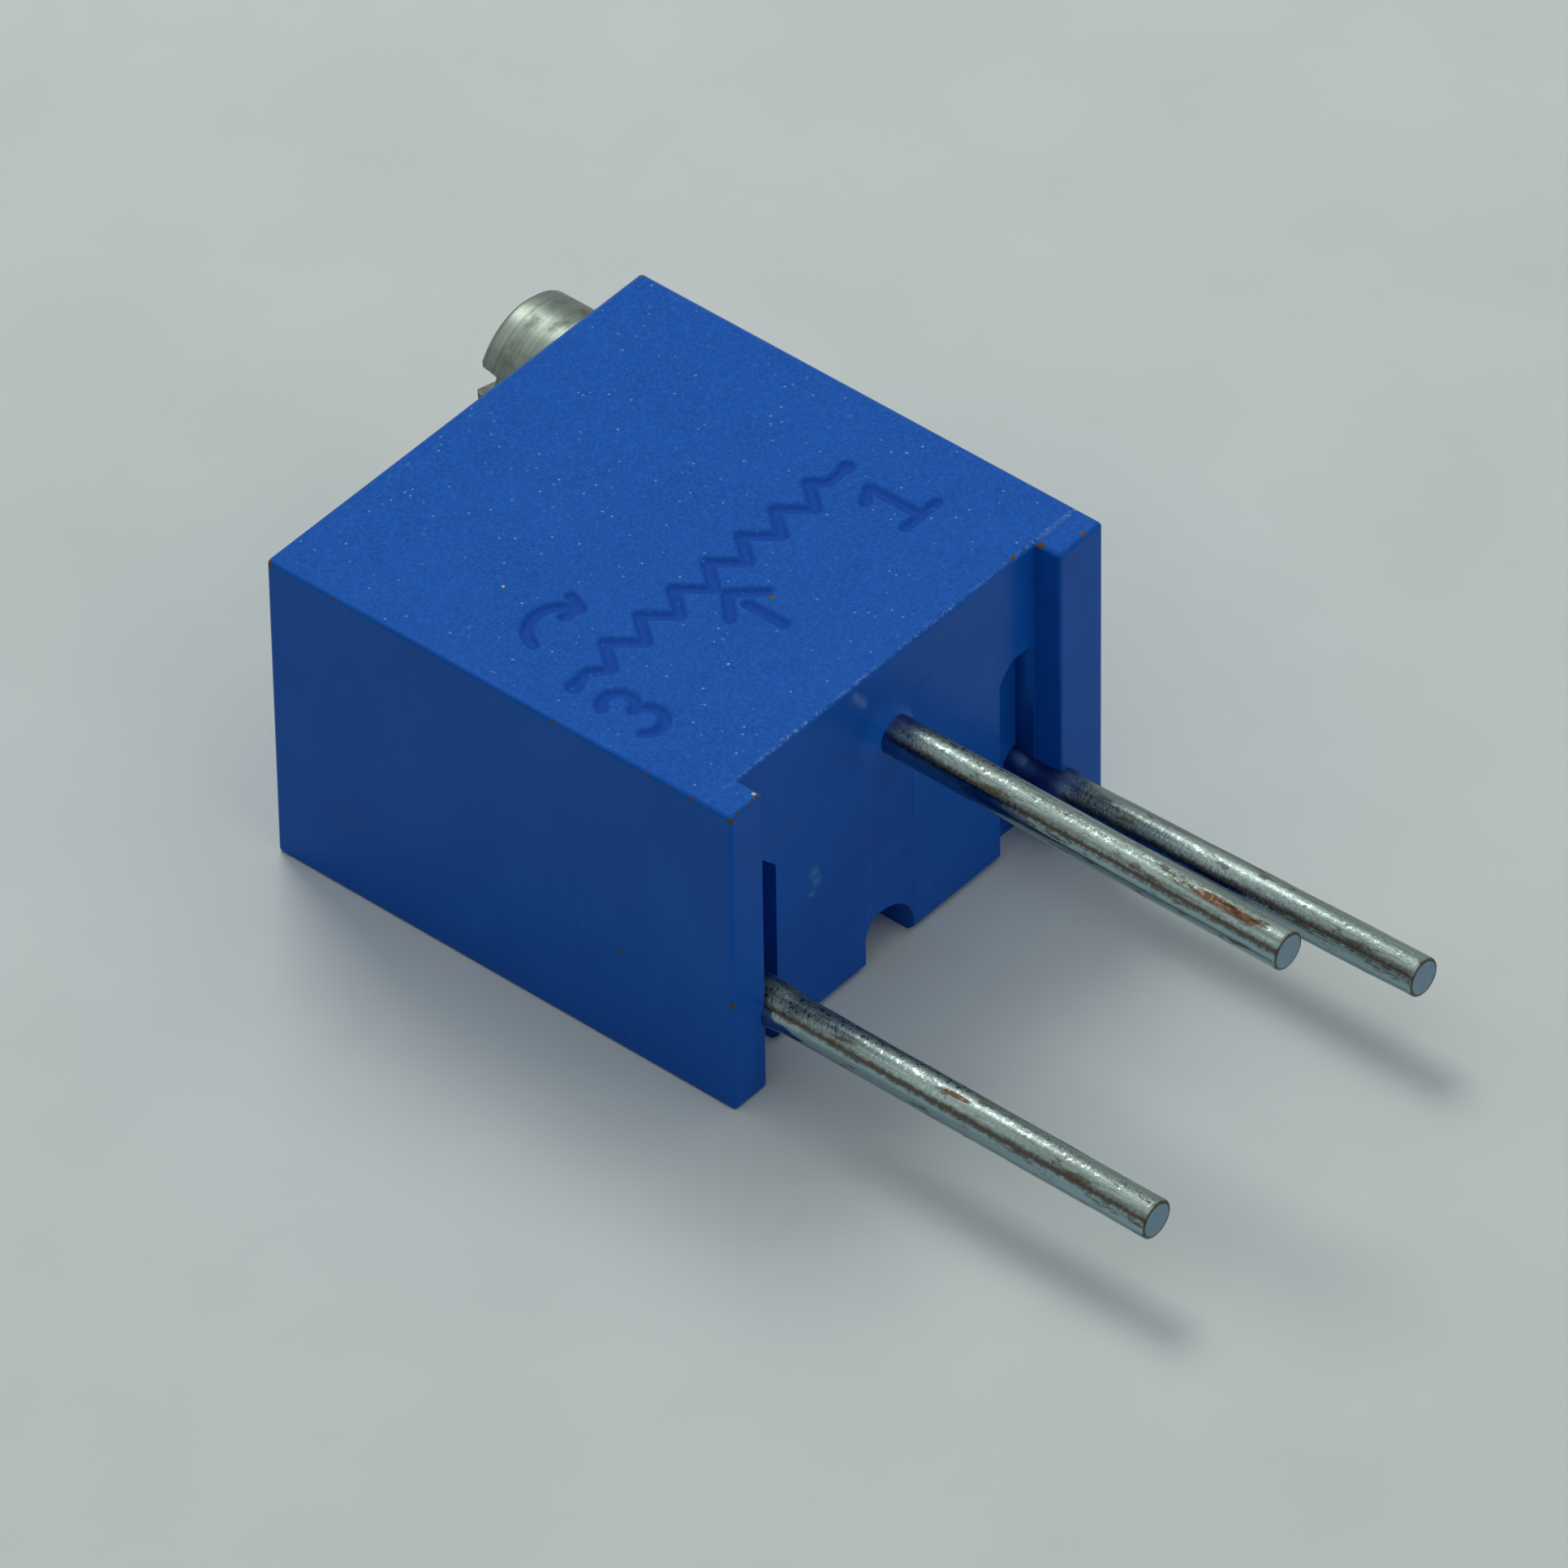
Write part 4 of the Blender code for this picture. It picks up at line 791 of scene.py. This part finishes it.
def centre_mouth(mesh):
    """Moves the mouth of pin 1's hole, in the rib, onto the wire. Hole and wire climb from one corner in the pin
    face, each by its own rise per mm, and points within mouth_reach of the hole's middle go down by the difference."""
    points = np.empty(len(mesh.vertices) * 3, dtype=np.float32)
    mesh.vertices.foreach_get("co", points)
    points = points.reshape(-1, 3) / MM
    out = np.maximum(pin_face_level - points[:, 1], 0)
    off_hole = np.hypot(points[:, 0] - hole_1_x, points[:, 2] - hole_1_corner_z - out * hole_1_rise)
    points[:, 2] -= np.where(off_hole < mouth_reach, out * (hole_1_rise - wire_1_rise), 0)
    mesh.vertices.foreach_set("co", (points * MM).ravel())
    print("points moved:", int(((off_hole < mouth_reach) & (out > 0.01)).sum()))


# %% Housing
mesh, open_edges = relief_on("housing", housing_high.z, True, across, along, marked_face)
centre_mouth(mesh)
housing_piece = show("housing_moulding", mesh, [polished_pbt, satin_pbt], "case")
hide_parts("housing")
print("open edges:", open_edges)

# %% [markdown]
# ## The back resin
# The resin was poured from the back and shrank as it set, so its skin dishes between the walls and climbs a
# little where it wets them. The CAD's flat back is swapped for that dish in the same way. The tongue of resin in the
# middle pin's slot, in front of the dish, stays flat.

# %% Back resin
resin_low, resin_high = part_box("potting")
resin_front = -2.34
flat_border = 0.12
back_x = resin_high.x / MM - flat_border
back_y = resin_high.y / MM - flat_border
front_y = resin_front + flat_border
back_across = np.linspace(-back_x, back_x, 90)
back_along = np.linspace(front_y, back_y, 76)


def dished_back(x, y):
    """A shallow dish, deeper by slow ripples, which starts at the border with no step."""
    edge = np.minimum(back_x - np.abs(x), np.minimum(y - front_y, back_y - y))
    ripple = 0.008 * np.sin(2.1 * x + 0.7) * np.sin(1.7 * y - 0.4)
    return (0.055 + ripple) * smooth_step(edge, 0, 0.55)


mesh, open_edges = relief_on("potting", resin_low.z, False, back_across, back_along, dished_back)
resin_piece = show("back_resin", mesh, [cast_epoxy, cast_epoxy], "case")
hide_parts("potting")
print("open edges:", open_edges)

# %% [markdown]
# ## The middle pin's resin
# The middle pin climbs in a channel, and resin fills that channel flush. Wet resin climbs whatever it touches:
# the front skin is hollow between the channel's walls and rises in a collar round the wire. Its foot is arched,
# because a rib of the tool stood there. The ring that crept out over the pin face is too thin to stand up, so it is
# colour only, in the finishes. Two grids, front and back, are closed by four strips.

# %% Measures of the channel
seal_low, seal_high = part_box("pin_2_seal")
pin_2_low, pin_2_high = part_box("terminal_pin_2")
wire_radius = (pin_2_high.x - pin_2_low.x) / 2 / MM
wire_2_height = pin_2_high.z / MM - wire_radius
arch_x, arch_top = -0.26, 0.72
arch_side_1, arch_side_3 = 0.17, 0.42
collar_height = 0.035
collar_reach = 0.07
wall_reach = 0.012
skin_proud = 0.008
skin_hollow = 0.006

print("channel in mm: from x", round(seal_low.x / MM, 3), "to", round(seal_high.x / MM, 3))

# %% Skin of the resin
# The grid: turn goes across from one wall to the other as a half circle does, and v from the foot to the crown.
turn, v = np.meshgrid(np.linspace(0, np.pi, 61), np.linspace(0, 1, 181))
on_side_3 = turn < np.pi / 2
side_x = np.where(on_side_3, seal_low.x / MM - wall_reach, seal_high.x / MM + wall_reach)
side_z = np.where(on_side_3, arch_side_3, arch_side_1)
seal_x = arch_x + (side_x - arch_x) * np.abs(np.cos(turn))
foot = side_z + (arch_top - side_z) * np.sin(turn)
half_wide = (seal_high.x - seal_low.x) / 2 / MM + wall_reach
off_middle = np.abs(seal_x - (seal_high.x + seal_low.x) / 2 / MM)
crown = seal_high.z / MM + wall_reach - half_wide + np.sqrt(np.maximum(half_wide ** 2 - off_middle ** 2, 0))
seal_z = foot + (crown - foot) * v
from_wire = np.maximum(np.hypot(seal_x, seal_z - wire_2_height) - wire_radius, 0)
wall_gap = np.minimum(half_wide - off_middle, crown - seal_z)
collar = collar_height * np.exp(-from_wire / collar_reach)
front_skin = seal_low.y / MM - skin_proud + skin_hollow * smooth_step(wall_gap, 0, 0.16) - collar
print("collar at the wire in mm:", round(float(collar.max()), 3))

# %% Channel resin
front = np.stack([seal_x, front_skin, seal_z], -1) * MM
back = np.stack([seal_x, np.full_like(seal_x, seal_high.y / MM), seal_z], -1) * MM
strips = [
    np.stack([front[0], back[0]]),
    np.stack([front[-1], back[-1]]),
    np.stack([front[:, 0], back[:, 0]]),
    np.stack([front[:, -1], back[:, -1]]),
]
mesh = mesh_of("pin_2_resin", [(front, False), (back, False)] + [(strip, False) for strip in strips])
open_edges = close_shells(mesh)
seal_piece = show("pin_2_resin", mesh, [cast_epoxy], "case", smooth_under=50)
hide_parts("pin_2_seal")
print("open edges:", open_edges)

# %% [markdown]
# ## The three wires
# Each pin is one length of round wire, cut off with a blade that rolled its edges in: both ends are flat faces.
# Pins 1 and 3 wear a sleeve of resin where they leave the housing, which dies away over a few tenths of a mm. A
# curve with a round bevel would be quicker, but here the circle is carried along a centre line, so that it can
# grow and shrink by a few microns, as a dipped skin does, and so that each point also knows its place on the wire
# pulled straight.

# %% Centre line of a wire
def rounded_line(corners, radius, step=0.05):
    """A centre line in Y and Z through the corners, each turned in an arc of the radius that touches both runs."""
    corners = np.array(corners, float)
    points = [corners[:1]]
    for before, corner, after in zip(corners[:-2], corners[1:-1], corners[2:]):
        arrive, leave = corner - before, after - corner
        arrive, leave = arrive / np.linalg.norm(arrive), leave / np.linalg.norm(leave)
        angle = math.acos(np.clip(arrive @ leave, -1, 1))
        set_back = radius * math.tan(angle / 2)
        t = np.linspace(0, 1, max(3, round(angle / 0.1)))[:, None]
        begin, finish = corner - arrive * set_back, corner + leave * set_back
        weight = np.sin((1 - t) * angle) / math.sin(angle), np.sin(t * angle) / math.sin(angle)
        middle = corner + (finish + begin - 2 * corner) / (2 * math.cos(angle / 2) ** 2)
        points.append(middle + weight[0] * (begin - middle) + weight[1] * (finish - middle))
    points.append(corners[-1:])
    line = np.concatenate(points)
    reach = np.concatenate([[0], np.cumsum(np.linalg.norm(np.diff(line, axis=0), axis=1))])
    even = np.linspace(0, reach[-1], round(reach[-1] / step) + 1)
    return np.stack([np.interp(even, reach, line[:, 0]), np.interp(even, reach, line[:, 1])], -1)


# %% Skin of a wire
def wire_mesh(name, x, line, radius, seed, film, film_end):
    """A circle carried along the line, square to it, with a rolled edge and a flat face at each end. Its radius
    follows two slow sine waves, one per cent under the wire's, so that it never stands out past it. Where the wire
    leaves the housing it is thicker by a film of resin, which dies away at the place film_end on Y."""
    along = np.gradient(line, axis=0)
    along /= np.linalg.norm(along, axis=1)[:, None]
    square = np.stack([-along[:, 1], along[:, 0]], -1)
    angle = np.linspace(0, 2 * np.pi, 40, endpoint=False)
    reach = np.linspace(0, 1, len(line))[:, None]
    wobble = 0.006 * np.sin(31 * reach + seed + 2 * angle) + 0.004 * np.sin(73 * reach - seed - angle)
    size = radius * (1 + wobble - 0.010)
    out = line[:, :1]
    size = size + film * smooth_step(out, film_end - 0.20, film_end + 0.12) * (1 - smooth_step(out, -3.0, -2.9))
    ring = np.stack([
        x + size * np.cos(angle),
        line[:, :1] + square[:, :1] * size * np.sin(angle),
        line[:, 1:] + square[:, 1:] * size * np.sin(angle),
    ], -1)
    run = np.concatenate([[0], np.cumsum(np.linalg.norm(np.diff(line, axis=0), axis=1))])[:, None] + 0 * size
    straight = np.stack([size * np.cos(angle), run, -size * np.sin(angle)], -1)
    roll = 0.035
    turn_in = np.linspace(0, np.pi / 2, 6)
    inner_rings = (0.66, 0.33, 0.0)
    caps, straight_caps = [], []
    for end, sign in ((0, -1), (-1, 1)):
        rim = ring[end]
        centre = np.array([x, *line[end]])
        axis = np.array([0, *along[end]]) * sign
        inset = 1 - roll / radius * (1 - np.cos(turn_in))
        lift = roll * np.sin(turn_in) - roll
        rows = [centre + (rim - centre) * i + axis * l for i, l in zip(inset, lift)]
        rows += [centre + (rim - centre) * inset[-1] * i for i in inner_rings]
        caps.append(np.stack(rows))
        shrink = np.array([*inset, *(inset[-1] * i for i in inner_rings)])[:, None, None]
        straight_caps.append(straight[end] * np.concatenate([shrink, shrink * 0 + 1, shrink], -1))
    ring[0] = caps[0][0]
    ring[-1] = caps[1][0]
    mesh = mesh_of(name, [(ring * MM, True), (caps[0] * MM, True), (caps[1] * MM, True)])
    places = np.concatenate([part.reshape(-1, 3) for part in (straight, *straight_caps)]) * MM
    pulled = mesh.attributes.new("pulled_straight", "FLOAT_VECTOR", "POINT")
    pulled.data.foreach_set("vector", places.astype(np.float32).ravel())
    return mesh


# %% Three wires
rib_height = 0.38
pin_face = housing_low.y / MM + rib_height
pin_1_bend_y = -2.45
pin_1_dip, pin_1_tip_rise = 0.24, 0.21
pin_2_rise_y = -2.955
# The film's thickness on each pin, and where on Y it ends.
resin_films = {1: (0.032, -3.80), 2: (0.0, -3.40), 3: (0.030, -3.78)}
for number in (1, 2, 3):
    low, high = (np.array(corner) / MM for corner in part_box(f"terminal_pin_{number}"))
    radius = (high[0] - low[0]) / 2
    x = (high[0] + low[0]) / 2
    inner, tip = high[1], low[1]
    if number == 1:
        level = high[2] - radius
        dip = level - pin_1_dip
        corners = [(inner, level), (pin_1_bend_y, level), (pin_face, dip), (tip + 0.01, dip + pin_1_tip_rise)]
        line = rounded_line(corners, 0.6)
    elif number == 2:
        level, tip_level = low[2] + radius, high[2] - radius
        corners = [(inner, level), (pin_2_rise_y, level), (pin_2_rise_y, tip_level), (tip, tip_level)]
        line = rounded_line(corners, 0.35)
    else:
        line = rounded_line([(inner, low[2] + radius), (tip, low[2] + radius)], 0.6)
    film, film_end = resin_films[number]
    mesh = wire_mesh(f"pin_wire_{number}", x, line, radius, number, film, film_end)
    open_edges = close_shells(mesh)
    wire_piece = show(f"pin_wire_{number}", mesh, [tinned_wire], "case", smooth_under=50)
    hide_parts(f"terminal_pin_{number}")
    print("open edges:", open_edges)

# %% [markdown]
# ## The adjusting screw
# The whole screw is one surface round its axis: a radius for each angle and each place along it. The head's end
# is a sheet of chords that run along the driver slot, so that the slot's lips and floor are straight rows of
# points; from its rim the same columns run down over the head, the journal, the two grooves, the worm and the
# pilot. In the worm the radius follows a helix: the crest moves one lead along the axis for each full turn.

# %% Head and slot
screw_low, screw_high = (np.array(corner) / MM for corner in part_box("adjusting_screw"))
axis_x, axis_z = turn_axis[0] / MM, turn_axis[2] / MM
head_radius = (screw_high[0] - screw_low[0]) / 2
head_end = screw_high[1]
tip_end = screw_low[1]
head_length = 0.92
head_start = head_end - head_length
head_chamfer = 0.07
slot_half_width = 0.17
slot_depth = 0.30
slot_turn = math.radians(15)
slot_lip = 0.030

near_slot = np.linspace(slot_half_width - 0.06, slot_half_width + 0.06, 13)
chords = np.concatenate([
    np.linspace(0, near_slot[0], 5)[:-1],
    near_slot,
    head_radius * np.sin(np.linspace(math.asin(near_slot[-1] / head_radius), math.pi / 2, 15))[1:],
])
chords = np.concatenate([-chords[:0:-1], chords])
in_slot = 1 - smooth_step(np.abs(chords), slot_half_width - slot_lip, slot_half_width + slot_lip)
sunk = slot_depth * in_slot
rim_radius = head_radius - head_chamfer * (1 - in_slot)
chords_in = chords * rim_radius / head_radius
half_chord = np.sqrt(np.maximum(rim_radius ** 2 - chords_in ** 2, 0))
along_chord = np.linspace(-1, 1, 33)


def on_screw(s, t, y):
    """A place across (s) and along (t) the slot, in the screw's own turned axes, put round the screw's axis."""
    x = t * math.cos(slot_turn) - s * math.sin(slot_turn)
    z = -(t * math.sin(slot_turn) + s * math.cos(slot_turn))
    return np.stack(np.broadcast_arrays(axis_x + x, y, axis_z + z), -1)


end_face = on_screw(chords_in[None, :], along_chord[:, None] * half_chord[None, :], head_end - sunk[None, :])
rim_s = np.concatenate([chords_in, chords_in[-2:0:-1]])
rim_t = np.concatenate([half_chord, -half_chord[-2:0:-1]])
rim_sunk = np.concatenate([sunk, sunk[-2:0:-1]])
rim_size = np.hypot(rim_s, rim_t)
angle = np.unwrap(np.arctan2(rim_s, rim_t))
shoulder = head_end - np.maximum(rim_sunk, head_chamfer)


def ring(radius, y):
    """The screw's columns at a radius and a height, which may both vary with the angle."""
    return on_screw(np.sin(angle) * radius, np.cos(angle) * radius, y)


print("columns of points round the screw:", len(angle))

# %% Worm
journal, pilot = 0.60, 0.28
groove_radius = 0.38
seal_groove = (2.95, 2.66)
clip_groove = (1.945, 1.725)
head_foot = 0.035
thread_lead = 0.8620
thread_crest, thread_root = 0.58, 0.28
rotor_level = frame["joints"][1]["pos_m"][1] / MM
worm_half_length = 1.25
flank = math.tan(math.radians(20))
backlash = 0.10
middle_radius = (thread_crest + thread_root) / 2
crest_half = (thread_lead / 2 - backlash / 2) / 2 - (thread_crest - middle_radius) * flank


def worm_radius(y):
    """Crest where the distance along the axis from the helix is under the crest's half width, then a straight
    flank at 20 degrees down to the root. The helix is right-handed, with its crest at the gear on the rotor's level."""
    own_angle = angle + slot_turn
    turns = (y - rotor_level) / thread_lead - (own_angle - math.pi) / (2 * math.pi)
    off_crest = np.abs(turns - np.round(turns)) * thread_lead
    return np.clip(thread_crest - (off_crest - crest_half) / flank, thread_root, thread_crest)


print("crest's half width in mm:", round(crest_half, 3))

# %% Screw
worm_high = rotor_level + worm_half_length
worm_low = rotor_level - worm_half_length
profile = [
    (head_radius, head_start + head_foot), (head_radius - head_foot, head_start), (journal, head_start),
]
for upper, lower in (seal_groove, clip_groove):
    profile += [(journal, upper), (groove_radius, upper), (groove_radius, lower), (journal, lower)]
profile += [(journal, worm_high + 0.02), (0.40, worm_high)]
rows = [ring(rim_size, head_end - rim_sunk), ring(head_radius, shoulder)]
rows += [ring(head_radius, shoulder + (head_start + head_foot - shoulder) * t) for t in (0.15, 0.5, 0.85)]
rows += [ring(radius, y) for radius, y in profile]
rows += [ring(worm_radius(y), y) for y in np.linspace(worm_high - 0.02, worm_low + 0.02, 88)]
rows += [ring(pilot, worm_low), ring(pilot, tip_end + 0.07), ring(pilot * 0.75, tip_end), ring(0.0, tip_end)]
side = np.stack(rows)
mesh = mesh_of("screw", [(end_face * MM, False), (side * MM, True)])
open_edges = close_shells(mesh)
screw_piece = show("screw_turned", mesh, [turned_brass], "screw", smooth_under=28)
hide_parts("adjusting_screw")
print("open edges:", open_edges)

# %% [markdown]
# ## The studio
# A plain pale floor takes the shadow. The light is kept at a level where a colour comes out about as written. Most
# of it comes from a very large lamp overhead, which is only as bright as the backdrop, so that metal doesn't show
# it as a spot. A small key above and behind gives the marks their shade, and a faint fill stands in front of the
# pins. What the camera and shiny things see of the world is a plain pale backdrop, chosen by the kind of ray and
# not by more light.

# %% Floor
floor_half = 0.6
floor_mesh = mesh_of("floor", [(np.array([
    [(-floor_half, -floor_half, 0), (floor_half, -floor_half, 0)],
    [(-floor_half, floor_half, 0), (floor_half, floor_half, 0)],
]), False)])
floor_material, tree, shader, place = start_material("board_painted_pale", Roughness=0.85, Specular_IOR_Level=0.2)
clouds = add(tree, "TexNoise", {"Vector": place, "Scale": per(3.0), "Detail": 4.0})
cloudy = add(tree, "MapRange", {"Value": clouds.outputs["Fac"], "From Min": 0.3, "From Max": 0.7})
paint = {0: cloudy.outputs[0], MIX_A: linear("#C6D0CE"), MIX_B: linear("#CCD5D3")}
painted = add(tree, "Mix", paint, data_type="RGBA")
tree.links.new(painted.outputs[MIX_COLOUR], shader.inputs["Base Color"])
floor = bpy.data.objects.new("floor", floor_mesh)
floor_mesh.materials.append(floor_material)
bpy.context.scene.collection.objects.link(floor)

# %% World
world = bpy.data.worlds.new("studio")
bpy.context.scene.world = world
world.use_nodes = True
tree = world.node_tree
tree.nodes.clear()
rays = add(tree, "LightPath")
seen = add(tree, "Math", {0: rays.outputs["Is Camera Ray"], 1: rays.outputs["Is Glossy Ray"]}, operation="MAXIMUM")
seen = add(tree, "Math", {0: seen.outputs[0], 1: rays.outputs["Is Transmission Ray"]}, operation="MAXIMUM")
around = add(tree, "Background", {"Color": linear("#F2F5F7"), "Strength": 0.13})
backdrop = add(tree, "Background", {"Color": linear("#D5DAD9"), "Strength": 1.0})
chosen = add(tree, "MixShader", {0: seen.outputs[0], 1: around.outputs[0], 2: backdrop.outputs[0]})
add(tree, "OutputWorld", {"Surface": chosen.outputs[0]})
print("world:", len(tree.nodes), "nodes")


# %% Lamps
def lamp(name, place_mm, size_mm, watts, colour):
    """A square soft lamp that faces the part."""
    data = bpy.data.lights.new(name, "AREA")
    data.size = size_mm * MM
    data.energy = watts
    data.color = linear(colour)[:3]
    lamp_object = bpy.data.objects.new(name, data)
    spot = Vector(place_mm) * MM
    facing = (spot - part_middle).to_track_quat("Z", "Y").to_matrix().to_4x4()
    lamp_object.matrix_world = Matrix.Translation(spot) @ facing
    bpy.context.scene.collection.objects.link(lamp_object)


lamp("soft_overhead", (-10, 10, 180), 400, 0.300, "#FBFDFF")
lamp("soft_key", (46, 75, 125), 60, 0.085, "#FFFDF8")
lamp("soft_fill", (10, -160, 60), 140, 0.040, "#F6F9FF")
bpy.context.scene.view_settings.view_transform = "Standard"
